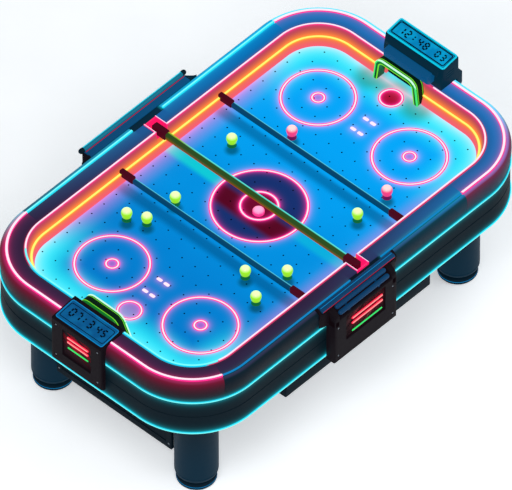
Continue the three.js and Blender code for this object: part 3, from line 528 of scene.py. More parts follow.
def playfield_paint():
    """The colours under the marks, and light from the marks and from the foot of the walls."""
    paint = Paint("playfield", srgb(0, 110, 180), roughness=0.35, specular=0.03)
    base = disc_colours(paint, bar_light(paint, field_shadows(paint, field_colour(paint))))
    paint.set("Base Color", paint.tint(base, 0.2))
    paint.glow(base, 0.88)
    for x, y, radius in RINGS + CREASES:
        light = paint.use(GROUPS["ring"], paint.place, (x, y, PLAY), radius, 0.008)
        paint.glow(MARK_GLOW, paint.times(light, 1.2))
    for x in TICKS:
        for y in (-TICK_Y, TICK_Y):
            glow_near(paint, MARK_GLOW, (x, y, PLAY), 0.009, 0.9)
    return paint.tube_glow(srgb(255, 90, 130), RAIL_WIDTH + WALL_SLOPE, PLAY, 0.020, 0.6)


def wall_paint():
    """Painted light and shade from its lines: salmon at the foot, orange where the yellow tube lights it,
    dusky under the line at the top, and cyan at the top of the near end.
    """
    paint = Paint("rink_wall", srgb(200, 95, 85), roughness=0.4, specular=0.04)
    height = paint.ramp(paint.z, PLAY, RAIL_TOP, smooth=False)
    base = paint.mix(paint.ramp(height, 0.05, 0.42), srgb(244, 96, 110), srgb(222, 104, 64))
    base = paint.mix(paint.ramp(height, 0.52, 0.98), base, srgb(172, 58, 88))
    # Painted light: cyan along the top of the near end's wall, under the cyan line.
    top = paint.times(paint.ramp(height, 0.94, 0.98), near_end_share(paint))
    base = paint.mix(top, base, srgb(0, 176, 214))
    paint.set("Base Color", paint.tint(base, 0.2))
    paint.glow(base, 0.84)
    paint.tube_glow(srgb(255, 150, 20), TUBE_INSET, TUBE_Z, 0.011, 0.8)
    return rim_glow(paint, 0.007, 0.6)


def glow_near(paint, colour, place, width, strength):
    """Light round one point."""
    return paint.glow(colour, paint.times(fade(paint, paint.away(place), width), strength))


class PaintBox:
    """Every material, made once."""

    def __init__(self):
        self.playfield = playfield_paint()
        self.wall = wall_paint()
        self.panel = panel_paint("panel", srgb(8, 20, 28))
        self.rail_end = rail_paint("rail_end", PINK, srgb(215, 0, 62), 1.0, 0.85)
        self.rail_side = rail_paint("rail_side", CYAN, srgb(0, 40, 56), 0.12, 0.16)
        self.leg = self.leg_paint()
        self.console = self.console_paint()
        self.blue = self.blue_paint()
        self.green = self.goal_paint()
        self.lime = self.peg_paint("peg_lime", srgb(160, 240, 30), srgb(10, 104, 52))
        self.peg_pink = self.peg_paint("peg_pink", srgb(250, 66, 130), srgb(110, 10, 80))
        self.puck = self.puck_paint()
        self.olive = self.bar_paint()
        self.display_near = self.display_paint("display_near", srgb(4, 62, 104), srgb(8, 88, 132))
        self.display_far = self.display_paint("display_far", srgb(0, 104, 150), srgb(4, 146, 186))
        self.make_plain()
        self.make_lamps()

    def make_plain(self):
        self.rubber = plastic("rubber", srgb(8, 20, 28), srgb(4, 30, 44), 0.4, roughness=0.8, specular=0.05,
                              scale=220)
        self.handle = plastic("handle", srgb(4, 50, 66), srgb(2, 112, 138), 0.85, roughness=0.35,
                              specular=0.2)
        self.trim = plastic("cyan_trim", srgb(6, 60, 80), srgb(0, 205, 235), 0.9, roughness=0.3,
                            specular=0.1)
        self.faint_red = plastic("faint_red", srgb(60, 4, 14), srgb(170, 8, 46), 0.9, specular=0.1)
        self.faint_cyan = plastic("faint_cyan", srgb(6, 50, 80), srgb(0, 128, 190), 0.95, roughness=0.4,
                                  specular=0.1)
        self.saddle = plastic("saddle", srgb(190, 14, 70), srgb(250, 24, 104), 0.75, roughness=0.35)
        self.goal_dark = plastic("goal_channel", srgb(2, 16, 8), srgb(3, 30, 14), 0.7, specular=0.05)
        self.maroon = plastic("bar_end", srgb(44, 4, 14), srgb(78, 4, 28), 0.6, specular=0.05)
        # Painted shade: near black inside the air holes.
        self.hole = Paint("hole", srgb(4, 8, 20), roughness=0.9, specular=0.0)
        self.digit = Paint("digit", srgb(2, 8, 20), roughness=0.6, specular=0.02)
        self.steel = Paint("steel", srgb(120, 128, 136), roughness=0.35, metallic=1.0)

    def make_lamps(self):
        self.pink = lamp("pink_light", srgb(255, 40, 140), 1.2)
        self.pink_core = lamp("pink_core", srgb(255, 226, 240), 1.1)
        self.foot_light = lamp("foot_light", srgb(252, 96, 124), 0.95)
        self.cyan = lamp("cyan_light", srgb(16, 226, 252), 1.0)
        self.cyan_core = lamp("cyan_core", srgb(120, 255, 255), 1.05)
        self.yellow = lamp("yellow_light", srgb(255, 176, 20), 1.0)
        self.yellow_core = lamp("yellow_core", srgb(255, 244, 110), 1.05)
        self.green_line = lamp("green_light", srgb(60, 235, 110), 1.0)
        self.green_core = lamp("green_core", srgb(205, 255, 226), 1.05)
        self.green_edge = lamp("green_edge", srgb(120, 232, 30), 0.95)
        self.red = lamp("red_light", srgb(255, 24, 66), 1.2)
        self.red_core = lamp("red_core", srgb(255, 168, 160), 1.05)
        self.signal = lamp("signal_light", srgb(40, 235, 110), 1.0)

    def leg_paint(self):
        paint = Paint("leg", srgb(5, 22, 32), roughness=0.5, specular=0.05)
        # Painted shade: darker towards the top, under the cabinet, and paler towards the floor.
        share = paint.ramp(paint.z, 0.50, 0.12)
        return paint.glow(paint.mix(share, srgb(4, 18, 26), srgb(3, 42, 62)), 0.6)

    def console_paint(self):
        """Painted shade and light: near black on the near right of the table, dark teal on its far left."""
        paint = Paint("console", srgb(6, 7, 11), roughness=0.5, specular=0.03)
        share = towards_far_left(paint, -0.2, 0.8)
        return paint.glow(paint.mix(share, srgb(20, 11, 16), srgb(2, 46, 66)), 0.75)

    def blue_paint(self):
        """Blue plastic with painted shade: darker towards the near right of the table, paler towards its far
        left.
        """
        paint = Paint("blue_plastic", srgb(6, 44, 74), roughness=0.4, specular=0.08)
        share = towards_far_left(paint, -0.6, 0.6)
        return paint.glow(paint.mix(share, srgb(6, 44, 76), srgb(2, 78, 124)), 0.75)

    def goal_paint(self):
        """Dark green, paler towards the top and in cloudy patches."""
        paint = Paint("goal_green", srgb(8, 70, 22), roughness=0.3, specular=0.08)
        clouds = paint.line(paint.noise(paint.place, 16.0), 0.05, paint.z)
        share = paint.ramp(clouds, PLAY + 0.04, PLAY + 0.15)
        return paint.glow(paint.mix(share, srgb(2, 58, 26), srgb(12, 112, 40)), 0.8)

    def peg_paint(self, name, cap, stem):
        paint = Paint(name, cap, roughness=0.25, specular=0.25)
        share = paint.ramp(paint.z, PLAY + 0.016, PLAY + 0.024)
        colour = paint.mix(share, stem, cap)
        paint.set("Base Color", paint.tint(colour, 0.3))
        # Painted highlight: the top of the cap glows paler, near white.
        painted_highlight = paint.ramp(paint.z, PLAY + 0.046, PLAY + 0.062)
        paint.glow(colour, 0.78)
        return paint.glow(srgb(235, 255, 225), paint.times(painted_highlight, 0.7))

    def puck_paint(self):
        paint = Paint("puck", srgb(225, 50, 130), roughness=0.25, specular=0.2)
        # Painted highlight: the top of the puck glows paler, near white.
        painted_highlight = paint.ramp(paint.z, PLAY + 0.014, PLAY + 0.026)
        paint.glow(srgb(235, 60, 140), 0.6)
        return paint.glow(srgb(255, 235, 245), paint.times(painted_highlight, 0.5))

    def bar_paint(self):
        """Olive with an orange lower edge and a green top, with a painted highlight along its far top edge:
        lime near the left wall, pale cyan elsewhere.
        """
        paint = Paint("bar", srgb(50, 60, 22), roughness=0.45, specular=0.05)
        height = paint.ramp(paint.z, RAIL_TOP - 0.036, RAIL_TOP - 0.008)
        colour = paint.mix(paint.ramp(height, 0.0, 0.4), srgb(170, 66, 14), srgb(86, 84, 20))
        colour = paint.mix(paint.ramp(height, 0.6, 1.0), colour, srgb(44, 76, 30))
        # Painted highlight along the bar's far top edge.
        edge = paint.times(paint.ramp(paint.x, 0.001, 0.007), paint.ramp(height, 0.6, 0.9))
        lime = paint.ramp(paint.y, 0.46, 0.34)
        colour = paint.mix(edge, colour, paint.mix(lime, srgb(150, 190, 40), srgb(90, 232, 214)))
        paint.set("Base Color", paint.tint(colour, 0.25))
        return paint.glow(colour, 0.85)

    def cross_bar_paint(self, name, middle):
        """Blue with a painted highlight: a pale cyan line along the far top edge."""
        paint = Paint(name, srgb(2, 60, 96), roughness=0.4, specular=0.05)
        height = paint.ramp(paint.z, PLAY + 0.054, PLAY + 0.062)
        # Painted highlight along the bar's far top edge.
        edge = paint.times(paint.ramp(paint.x, middle + 0.001, middle + 0.007), height)
        colour = paint.mix(edge, srgb(2, 66, 104), srgb(90, 220, 240))
        paint.set("Base Color", paint.tint(colour, 0.25))
        return paint.glow(colour, 0.85)

    def display_paint(self, name, dark, pale):
        paint = Paint(name, dark, roughness=0.35, specular=0.05)
        patches = paint.noise(paint.place, 18.0, 2.0)
        return paint.glow(paint.mix(paint.ramp(patches, 0.35, 0.7), dark, pale), 0.85)


# ---------------------------------------------------------------- mesh making

SHARP = math.radians(32)


def bright_core(mesh, facing, limit=0.8):
    """Gives the faces of a tube that face a direction, or out from the cabinet's middle, the second paint."""
    mesh.normal_update()
    for face in mesh.faces:
        way = facing if facing else outward(face.calc_center_median())
        face.material_index = int(face.normal.dot(way) > limit)
    return mesh


def outward(place):
    """The direction from the cabinet's middle to the nearest point of its outline."""
    middle = Vector((max(-HALF_L + CORNER, min(HALF_L - CORNER, place.x)),
                     max(-HALF_W + CORNER, min(HALF_W - CORNER, place.y)), place.z))
    return (place - middle).normalized()


def piece(name, mesh, paint, like, *stands_for):
    """A finished mesh in the scene, in the given paints, riding with the body of CAD node like."""
    for face in mesh.faces:
        face.smooth = True
    for edge in mesh.edges:
        edge.smooth = len(edge.link_faces) != 2 or edge.calc_face_angle(0) < SHARP
    data = bpy.data.meshes.new(name)
    mesh.to_mesh(data)
    mesh.free()
    thing = bpy.data.objects.new(name, data)
    for one in paint if isinstance(paint, tuple) else (paint,):
        data.materials.append(one.material)
    bpy.context.collection.objects.link(thing)
    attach(thing, BODIES[like])
    if stands_for:
        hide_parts(*stands_for)
    return thing


def bevel(mesh, width, segments=3, sharp=math.radians(25)):
    edges = [e for e in mesh.edges if len(e.link_faces) == 2 and e.calc_face_angle(0) > sharp]
    bmesh.ops.bevel(mesh, geom=edges, offset=width, segments=segments, profile=0.5, affect="EDGES",
                    clamp_overlap=True)
    return mesh


def station(x, y, nx, ny):
    return (Vector((x, y, 0)), Vector((nx, ny, 0)))


def corner(sx, sy, start=0.0, end=1.0):
    """Stations round one corner of the cabinet's outline, anticlockwise."""
    first = {(1, 1): 0, (-1, 1): 90, (-1, -1): 180, (1, -1): 270}[(sx, sy)]
    steps = max(1, round(ROUND_STEPS * (end - start)))
    middle = Vector((sx * (HALF_L - CORNER), sy * (HALF_W - CORNER), 0))
    stations = []
    for i in range(steps + 1):
        angle = math.radians(first + 90 * (start + (end - start) * i / steps))
        normal = Vector((math.cos(angle), math.sin(angle), 0))
        stations.append((middle + normal * CORNER, normal))
    return stations


def left(x):
    return station(x, HALF_W, 0, 1)


def right(x):
    return station(x, -HALF_W, 0, -1)


ALL_ROUND = corner(1, 1) + corner(-1, 1) + corner(-1, -1) + corner(1, -1)
LEFT_SEAM, RIGHT_SHARE, FAR_SHARE, FAR_RIGHT = -0.735, 9 / 12, 11 / 12, 0.590
NEAR_END = [left(LEFT_SEAM)] + corner(-1, 1)[1:] + corner(-1, -1, 0, RIGHT_SHARE)
FAR_END = [right(FAR_RIGHT)] + corner(1, -1) + corner(1, 1, 0, FAR_SHARE)
SEAM = 0.0015
LEFT_SIDE = corner(1, 1, FAR_SHARE + 0.003, 1) + [left(LEFT_SEAM + SEAM)]
RIGHT_SIDE = corner(-1, -1, RIGHT_SHARE + 0.003, 1) + [right(FAR_RIGHT - SEAM)]


def skin(mesh, rings, closed):
    """Faces between rings of vertices, with flat ends unless closed."""
    count = len(rings[0])
    pairs = list(zip(rings, rings[1:] + rings[:1])) if closed else list(zip(rings, rings[1:]))
    for a, b in pairs:
        for i in range(count):
            j = (i + 1) % count
            mesh.faces.new((a[i], b[i], b[j], a[j]))
    if not closed:
        mesh.faces.new(rings[0])
        mesh.faces.new(reversed(rings[-1]))
    bmesh.ops.recalc_face_normals(mesh, faces=mesh.faces)


def sweep(profile, stations, closed=False, dome=0.0):
    """A profile of (inset, z) points along stations. dome rounds off each end by that length."""
    mesh = bmesh.new()
    middle = (sum(p[0] for p in profile) / len(profile), sum(p[1] for p in profile) / len(profile))

    def ring(place, normal, shift=0.0, scale=1.0):
        along = Vector((-normal.y, normal.x, 0)) * shift
        points = [(middle[0] + (i - middle[0]) * scale, middle[1] + (z - middle[1]) * scale) for i,
                  z in profile]
        return [mesh.verts.new(place - normal * i + along + Vector((0, 0, z))) for i, z in points]

    turns = [math.radians(a) for a in (75, 50, 25)] if dome else []
    rings = [ring(*stations[0], -dome * math.sin(a), math.cos(a)) for a in turns]
    rings += [ring(place, normal) for place, normal in stations]
    rings += [ring(*stations[-1], dome * math.sin(a), math.cos(a)) for a in reversed(turns)]
    skin(mesh, rings, closed)
    return mesh


def round_profile(inset, z, radius, count=12, flat=1.0):
    turn = 2 * math.pi / count
    return [(inset + radius * math.cos(i * turn), z + radius * flat * math.sin(i * turn))
            for i in range(count)]


def prism(outline, axis, start, end, rounding=0.0, segments=3):
    """An outline in the two axes that follow axis (X: y, z; Y: x, z; Z: x, y), run from start to end."""
    def place(u, v, w):
        return {"X": (w, u, v), "Y": (u, w, v), "Z": (u, v, w)}[axis]

    mesh = bmesh.new()
    rings = [[mesh.verts.new(place(u, v, w)) for u, v in outline] for w in (start, end)]
    skin(mesh, rings, False)
    return bevel(mesh, rounding, segments) if rounding else mesh


def block(low, high, rounding=0.0, segments=3):
    outline = [(low[0], low[1]), (high[0], low[1]), (high[0], high[1]), (low[0], high[1])]
    return prism(outline, "Z", low[2], high[2], rounding, segments)


def room(x, y, z):
    """The low and high corners of a box, from its reach along each axis in either order."""
    return tuple(zip(sorted(x), sorted(y), sorted(z)))


def lathe(profile, x, y, steps=48):
    """A (radius, z) profile turned about a vertical axis. It starts and ends on the axis."""
    mesh = bmesh.new()
    rings = []
    for radius, z in profile:
        if radius < 1e-6:
            rings.append([mesh.verts.new((x, y, z))])
        else:
            turn = 2 * math.pi / steps
            rings.append([mesh.verts.new((x + radius * math.cos(i * turn), y + radius * math.sin(i * turn),
                                          z)) for i in range(steps)])
    for a, b in zip(rings, rings[1:]):
        for i in range(steps):
            j = (i + 1) % steps
            corners = [a[i % len(a)], a[j % len(a)], b[j % len(b)], b[i % len(b)]]
            mesh.faces.new(list(dict.fromkeys(corners)))
    bmesh.ops.recalc_face_normals(mesh, faces=mesh.faces)
    return mesh


def pipe(points, radius, closed=False, count=10):
    """A round tube along points, with domed ends unless closed."""
    mesh = bmesh.new()
    points = [Vector(p) for p in points]
    last = len(points) - 1
    rings, side = [], None
    for i, point in enumerate(points):
        before = points[i - 1] if i or closed else point
        after = points[(i + 1) % len(points)] if i < last or closed else point
        along = (after - before).normalized()
        if side is None:
            side = along.orthogonal()
        side = (side - along * side.dot(along)).normalized()
        up = along.cross(side)
        circle = [side * math.cos(k * math.tau / count) + up * math.sin(k * math.tau / count)
                  for k in range(count)]
        ends = [(-0.8, 0.55), (-0.45, 0.88)] if i == 0 and not closed else []
        ends.append((0.0, 1.0))
        if i == last and not closed:
            ends += [(0.45, 0.88), (0.8, 0.55)]
        for shift, scale in ends:
            middle = point + along * shift * radius
            rings.append([mesh.verts.new(middle + offset * radius * scale) for offset in circle])
    skin(mesh, rings, closed)
    return mesh


def together(*meshes):
    """Several meshes as one."""
    whole = bmesh.new()
    for mesh in meshes:
        data = bpy.data.meshes.new("part")
        mesh.to_mesh(data)
        mesh.free()
        whole.from_mesh(data)
        bpy.data.meshes.remove(data)
    return whole


class Panel:
    """A flat working plane on the object. across and up lie in it, and out points away from its face."""

    def __init__(self, origin, across, up):
        across, up = Vector(across).normalized(), Vector(up).normalized()
        self.matrix = Matrix((across, up, across.cross(up))).transposed().to_4x4()
        self.matrix.translation = Vector(origin)

    def put(self, mesh):
        mesh.transform(self.matrix)
        return mesh

    def slab(self, a, b, c, rounding=0.0):
        """A bevelled block. a, b and c are its (low, high) along across, up and out."""
        return self.put(block((a[0], b[0], c[0]), (a[1], b[1], c[1]), rounding))

    def bar(self, a, b, radius, lift=0.0):
        """A round bar along across, from a[0] to a[1] at height b."""
        return self.put(pipe([(a[0], b, lift), (a[1], b, lift)], radius))

    def rim(self, half_a, half_b, radius, corner_radius=0.008, lift=0.0, middle=(0.0, 0.0)):
        """A round moulding along a rounded rectangle."""
        points = []
        for sa, sb, first in ((1, 1, 0), (-1, 1, 90), (-1, -1, 180), (1, -1, 270)):
            for step in range(5):
                angle = math.radians(first + 22.5 * step)
                points.append((middle[0] + sa * (half_a - corner_radius) + corner_radius * math.cos(angle),
                               middle[1] + sb * (half_b - corner_radius) + corner_radius * math.sin(angle),
                               lift))
        return self.put(pipe(points, radius, closed=True, count=8))

    def screw(self, a, b, radius=0.0045, lift=0.0):
        """A domed screw head with a slot."""
        head = lathe([(0, -0.001), (radius, -0.001), (radius, 0.0008), (radius * 0.72, 0.0022),
                      (0, 0.0026)], 0, 0, 16)
        head.transform(Matrix.Translation((a, b, lift)))
        slot = ((a - radius * 0.16, b - radius * 0.8, lift + 0.0014),
                (a + radius * 0.16, b + radius * 0.8, lift + 0.01))
        return self.put(cut(head, slot))


WINDOW_DEPTH = 0.0075 # how far the windows' panes lie behind the face round them
SCREW_DEPTH = 0.0031 # how deep the front screws sit, so that their heads are flush
POCKET_HALF = 0.0062 # half the width of the square pocket round each of them

# Which of a digit's seven bars are dark: top, upper left, upper right, middle, lower left, lower right
# and bottom.
DIGITS = {"0": "1110111", "1": "0010010", "2": "1011101", "3": "1011011", "4": "0111010", "5": "1101011",
          "7": "1010010", "8": "1111111"}


def digits(panel, text, middle, pitch, width, height, thick, lift):
    """A row of seven-bar digits, or a colon, on a panel."""
    half_w, half_h, t = width / 2, height / 2, thick / 2
    flat = (-half_w + thick * 0.35, half_w - thick * 0.35)
    bars = [(flat, (half_h - t, half_h + t)), ((-half_w - t, -half_w + t),
                                               (thick * 0.45, half_h - thick * 0.45)),
            ((half_w - t, half_w + t), (thick * 0.45, half_h - thick * 0.45)), (flat, (-t, t)),
            ((-half_w - t, -half_w + t), (-half_h + thick * 0.45, -thick * 0.45)),
            ((half_w - t, half_w + t), (-half_h + thick * 0.45, -thick * 0.45)),
            (flat, (-half_h - t, -half_h + t)), ]
    made = []
    for place, letter in enumerate(text):
        a = middle[0] + (place - (len(text) - 1) / 2) * pitch
        if letter == ":":
            spots = [((-t, t), (v - t, v + t)) for v in (-half_h * 0.4, half_h * 0.4)]
        else:
            spots = [bar for bar, dark in zip(bars, DIGITS.get(letter, "0000000")) if dark == "1"]
        made += [panel.slab((a + u[0], a + u[1]), (middle[1] + v[0], middle[1] + v[1]),
                            (lift, lift + 0.0012), 0.0002) for u, v in spots]
    return together(*made)


make_camera()
make_stage()
PAINT = PaintBox()
PAINT_OF_SLOT = {"cabinet": PAINT.panel, "leg": PAINT.leg, "rail": PAINT.blue, "console": PAINT.console,
                 "playfield": PAINT.playfield, "rink_wall": PAINT.wall, "pink_light": PAINT.pink,
                 "cyan_light": PAINT.cyan, "amber_light": PAINT.yellow, "green": PAINT.green,
                 "green_light": PAINT.lime, "display": PAINT.display_near, "bar": PAINT.olive,
                 "cross_bar": PAINT.blue, "dark_plastic": PAINT.rubber, "rubber": PAINT.rubber,
                 "metal": PAINT.steel, }
for name, node in NODES.items():
    node.data.materials.clear()
    node.data.materials.append(PAINT_OF_SLOT[SLOTS[name]].material)

# ---------------------------------------------------------------- cabinet, rails and wall

def cabinet():
    low, high = CABINET[0].z, CABINET[1].z
    section = [(0.004, low), (0.020, low), (0.020, high - 0.02), (0.08, high - 0.02), (0.08, high),
               (0.004, high), (0.0, high - 0.004), (0.0, low + 0.093), (0.0025, low + 0.0915),
               (0.0025, low + 0.0885), (0.0, low + 0.087), (0.0, low + 0.004)]
    piece("cabinet_band", sweep(section, ALL_ROUND, closed=True), PAINT.panel, "cabinet_shell",
          "cabinet_shell")
    for name, z in (("upper_led", UPPER_Z), ("lower_led", LOWER_Z)):
        channel = [(-0.0005, z - 0.0065), (0.010, z - 0.0065), (0.010, z + 0.0065), (-0.0005, z + 0.0065)]
        piece(name + "_channel", sweep(channel, ALL_ROUND, closed=True), PAINT.panel, name)
        tube = bright_core(sweep(round_profile(0.0, z, 0.0050), ALL_ROUND, closed=True), None)
        piece(name + "_tube", tube, (PAINT.cyan, PAINT.cyan_core), name, name)


def rail_section():
    inner = RAIL_WIDTH - 0.0125
    slot = 0.0078
    top = RAIL_TOP
    shoulder = [(0.0192, top - 0.0040), (0.0182, top - 0.0030), (0.0140, top - 0.0032),
                (0.0098, top - 0.0046), (0.0060, top - 0.0070), (0.0028, top - 0.0104),
                (0.0002, top - 0.0148), (-0.0018, top - 0.0202), (-0.0034, top - 0.0270),
                (-0.0043, top - 0.0350), (-0.0045, top - 0.0440), (-0.0042, top - 0.0540),
                (-0.0034, top - 0.0640), (-0.0022, top - 0.0740), (-0.0009, top - 0.0830)]
    return [(inner, top - 0.002), (inner - 0.002, top), (EDGE_INSET + slot + 0.002, top),
            (EDGE_INSET + slot, top - 0.002), (EDGE_INSET + slot, top - 0.009),
            (EDGE_INSET - slot, top - 0.009), *shoulder, (0.0, top - 0.092), (0.0022, top - 0.0935),
            (0.0022, top - 0.0965), (0.0, top - 0.098), (0.0, UPPER_Z + 0.008), (0.002, UPPER_Z + 0.0065),
            (0.068, UPPER_Z + 0.0065), (0.068, PLAY + 0.0006), (inner, PLAY + 0.0006)]


def cut(mesh, *boxes):
    """The mesh less some boxes, each given by its low and high corners."""
    data = bpy.data.meshes.new("cut")
    mesh.to_mesh(data)
    mesh.free()
    thing = bpy.data.objects.new("cut", data)
    bpy.context.collection.objects.link(thing)
    tools = []
    for low, high in boxes:
        tool_data = bpy.data.meshes.new("tool")
        tool_mesh = block(low, high)
        tool_mesh.to_mesh(tool_data)
        tool_mesh.free()
        tool = bpy.data.objects.new("tool", tool_data)
        bpy.context.collection.objects.link(tool)
        modifier = thing.modifiers.new("cut", "BOOLEAN")
        modifier.object, modifier.operation, modifier.solver = tool, "DIFFERENCE", "EXACT"
        tools.append(tool)
    bpy.context.view_layer.update()
    done = bmesh.new()
    done.from_object(thing, bpy.context.evaluated_depsgraph_get())
    for extra in [*tools, thing]:
        bpy.data.objects.remove(extra)
    return done


UP = Vector((0, 0, 1))
NOTCH = 0.0375 # half the length of the notch under each end of the centre bar
NOTCH_OUT = HALF_W - 0.0395
NOTCH_FLOOR = 0.7535
POCKET_TOP = 0.747
CLEAR = 0.83 # a height clear of the rails, for cuts that are open at the top
BOARD_NEAR, BOARD_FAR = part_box("scoreboard_near"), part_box("scoreboard_far")


def notch_cut(side):
    """The notch that a saddle sits in."""
    across = (side * (HALF_W - RAIL_WIDTH - 0.02), side * NOTCH_OUT)
    return room((-NOTCH, NOTCH), across, (NOTCH_FLOOR, CLEAR))


def rails():
    """Four rails, cut away for the scoreboards, the goal pockets, the saddles and the gaps in the strips."""
    section = rail_section()
    near_half, far_half = BOARD_NEAR[1].y + 0.0005, BOARD_FAR[1].y + 0.001
    boards = {"near": room((-HALF_L - 0.01, -0.935), (-near_half, near_half), (0.7455, CLEAR)),
              "far": room((HALF_L + 0.0005, HALF_L + 0.020), (-far_half, far_half),
                          (RAIL_TOP - 0.056, RAIL_TOP + 0.010)), }
    for end, run in (("near", NEAR_END), ("far", FAR_END)):
        node = "rail_end_" + end
        low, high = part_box("goal_pocket_" + end)
        pocket = room((low.x - 0.006, high.x + 0.006), (low.y - 0.001, high.y + 0.001),
                      (PLAY - 0.003, POCKET_TOP))
        piece("rail_" + end, cut(sweep(section, run), boards[end], pocket), PAINT.rail_end, node, node)
    for name, side, run in (("left", 1, LEFT_SIDE), ("right", -1, RIGHT_SIDE)):
        node = "rail_side_" + name
        lowered = room((-STRIP_GAP + 0.004, STRIP_GAP - 0.004), (side * NOTCH_OUT, side * (HALF_W + 0.01)),
                       (RAIL_TOP - 0.012, RAIL_TOP + 0.02))
        piece("rail_" + name, cut(sweep(section, run), notch_cut(side), lowered), PAINT.rail_side, node,
              node)


def end_tubes():
    """The pink strips round both ends, which stop at the scoreboards."""
    tube = round_profile(EDGE_INSET, RAIL_TOP - 0.0022, 0.0072, 16)
    near, far = BOARD_NEAR[1].y, BOARD_FAR[1].y
    runs = {
        "near": ([s for s in NEAR_END if s[0].y > near + 0.02] + [station(-HALF_L, near + 0.002, -1, 0)],
                 [station(-HALF_L, -near - 0.002, -1, 0)] + [s for s in NEAR_END if s[0].y < -near - 0.02]),
        "far": ([s for s in FAR_END if s[0].y < -far - 0.02] + [station(HALF_L, -far + 0.002, 1, 0)],
                [station(HALF_L, far + 0.030, 1, 0)] + [s for s in FAR_END if s[0].y > far + 0.05]),
    }
    for end, parts in runs.items():
        node = "end_led_" + end
        lit = bright_core(together(*[sweep(tube, run, dome=0.005) for run in parts]), UP)
        piece("end_tube_" + end, lit, (PAINT.pink, PAINT.pink_core), node, node)


def side_tubes():
    """The cyan strips along the sides: bright on the left, slim and faint on the right."""
    slim = round_profile(EDGE_INSET, RAIL_TOP - 0.0018, 0.0042)
    full = round_profile(EDGE_INSET, RAIL_TOP - 0.0018, 0.0062)
    for name, run in (("near", [left(-STRIP_GAP), LEFT_SIDE[-1]]),
                      ("far", LEFT_SIDE[:-1] + [left(STRIP_GAP)])):
        node = "side_led_left_" + name
        lit = bright_core(sweep(full, run, dome=0.004), UP)
        piece("side_tube_left_" + name, lit, (PAINT.cyan, PAINT.cyan_core), node, node)
    for name, run in (("near", RIGHT_SIDE[:-1] + [right(-STRIP_GAP)]),
                      ("far", [right(STRIP_GAP), RIGHT_SIDE[-1]])):
        node = "side_led_right_" + name
        piece("side_tube_right_" + name, sweep(slim, run, dome=0.004), PAINT.faint_cyan, node, node)


def rim_tubes():
    """The thin lit line along the rink's edge: cyan over the near end, pink elsewhere."""
    profile = round_profile(RIM_INSET - 0.0030, RAIL_TOP + 0.0004, 0.0042)
    board, notch, far_stop = BOARD_NEAR[1].y + 0.002, NOTCH + 0.001, 0.128
    near = [corner(-1, 1, 0.5, 1) + [station(-HALF_L, board, -1, 0)],
            [station(-HALF_L, -board, -1, 0)] + corner(-1, -1, 0, 0.8)]
    rest = [[left(-notch)] + corner(-1, 1, 0, 0.49),
            [station(HALF_L, far_stop, 1, 0)] + corner(1, 1) + [left(notch)],
            [right(notch)] + corner(1, -1) + [station(HALF_L, -far_stop, 1, 0)],
            corner(-1, -1, 0.82, 1) + [right(-notch)]]
    for name, runs, paints in (("rim_line_near", near, (PAINT.cyan, PAINT.cyan_core)),
                               ("rim_line", rest, (PAINT.pink, PAINT.pink_core))):
        line = together(*[sweep(profile, run, dome=0.003) for run in runs])
        piece(name, bright_core(line, UP, 0.6), paints, "rink_wall")


def wall_tubes():
    tube = round_profile(TUBE_INSET, TUBE_Z, 0.0056)
    foot = round_profile(RAIL_WIDTH + WALL_SLOPE + 0.001, PLAY + 0.002, 0.0022, 6)
    past_arch = 0.007
    for name, side in (("left", 1), ("right", -1)):
        far, near = [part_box("goal_frame_" + end)[side > 0].y + side * past_arch for end in ("far", "near")]
        far, near = station(HALF_L, far, 1, 0), station(-HALF_L, near, -1, 0)
        run = [far] + corner(1, 1) + corner(-1, 1) + [near]
        if side < 0:
            run = [near] + corner(-1, -1) + corner(1, -1) + [far]
        node = "wall_led_" + name
        lit = bright_core(sweep(tube, run, dome=0.005), UP, 0.45)
        piece("wall_tube_" + name, lit, (PAINT.yellow, PAINT.yellow_core), node, node)
        piece("wall_foot_line_" + name, sweep(foot, run, dome=0.002), PAINT.foot_light, node)


def rink_wall():
    """The sloping wall, with a rounded top edge, notches for the centre bar and slots behind the arches."""
    inner, outer = RAIL_WIDTH + WALL_SLOPE, RAIL_WIDTH - 0.012
    low, high = PLAY + 0.0004, RAIL_TOP
    slope = WALL_SLOPE / (RAIL_TOP - PLAY)
    section = [(outer, low), (inner, low), (inner - slope * 0.03, low + 0.03),
               (inner - slope * 0.06, low + 0.06), (RAIL_WIDTH + 0.0008, high - 0.003),
               (RAIL_WIDTH - 0.0015, high - 0.0006), (outer + 0.002, high - 0.0006), (outer, high - 0.003)]
    rooms, face = [], HALF_L - RAIL_WIDTH
    for end, sign in (("near", -1), ("far", 1)):
        arch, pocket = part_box("goal_frame_" + end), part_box("goal_pocket_" + end)
        rooms.append(room((sign * (face - 0.055), sign * face), (arch[0].y - 0.002, arch[1].y + 0.002),
                          (PLAY - 0.01, arch[1].z)))
        rooms.append(room((sign * (face - 0.01), sign * (face + 0.02)),
                          (pocket[0].y + 0.008, pocket[1].y - 0.008), (PLAY - 0.01, PLAY + 0.042)))
    wall = cut(sweep(section, ALL_ROUND, closed=True), notch_cut(1), notch_cut(-1), *rooms)
    piece("wall_lining", wall, PAINT.wall, "rink_wall", "rink_wall")


cabinet()
rails()
end_tubes()
side_tubes()
rim_tubes()
rink_wall()
wall_tubes()

# ---------------------------------------------------------------- playing surface

HOLE_PITCH = 0.0745
HOLE_RADIUS = 0.0038
BOARD_INSET = 0.092 # from the cabinet's outline to the board's edge, which lies under the walls


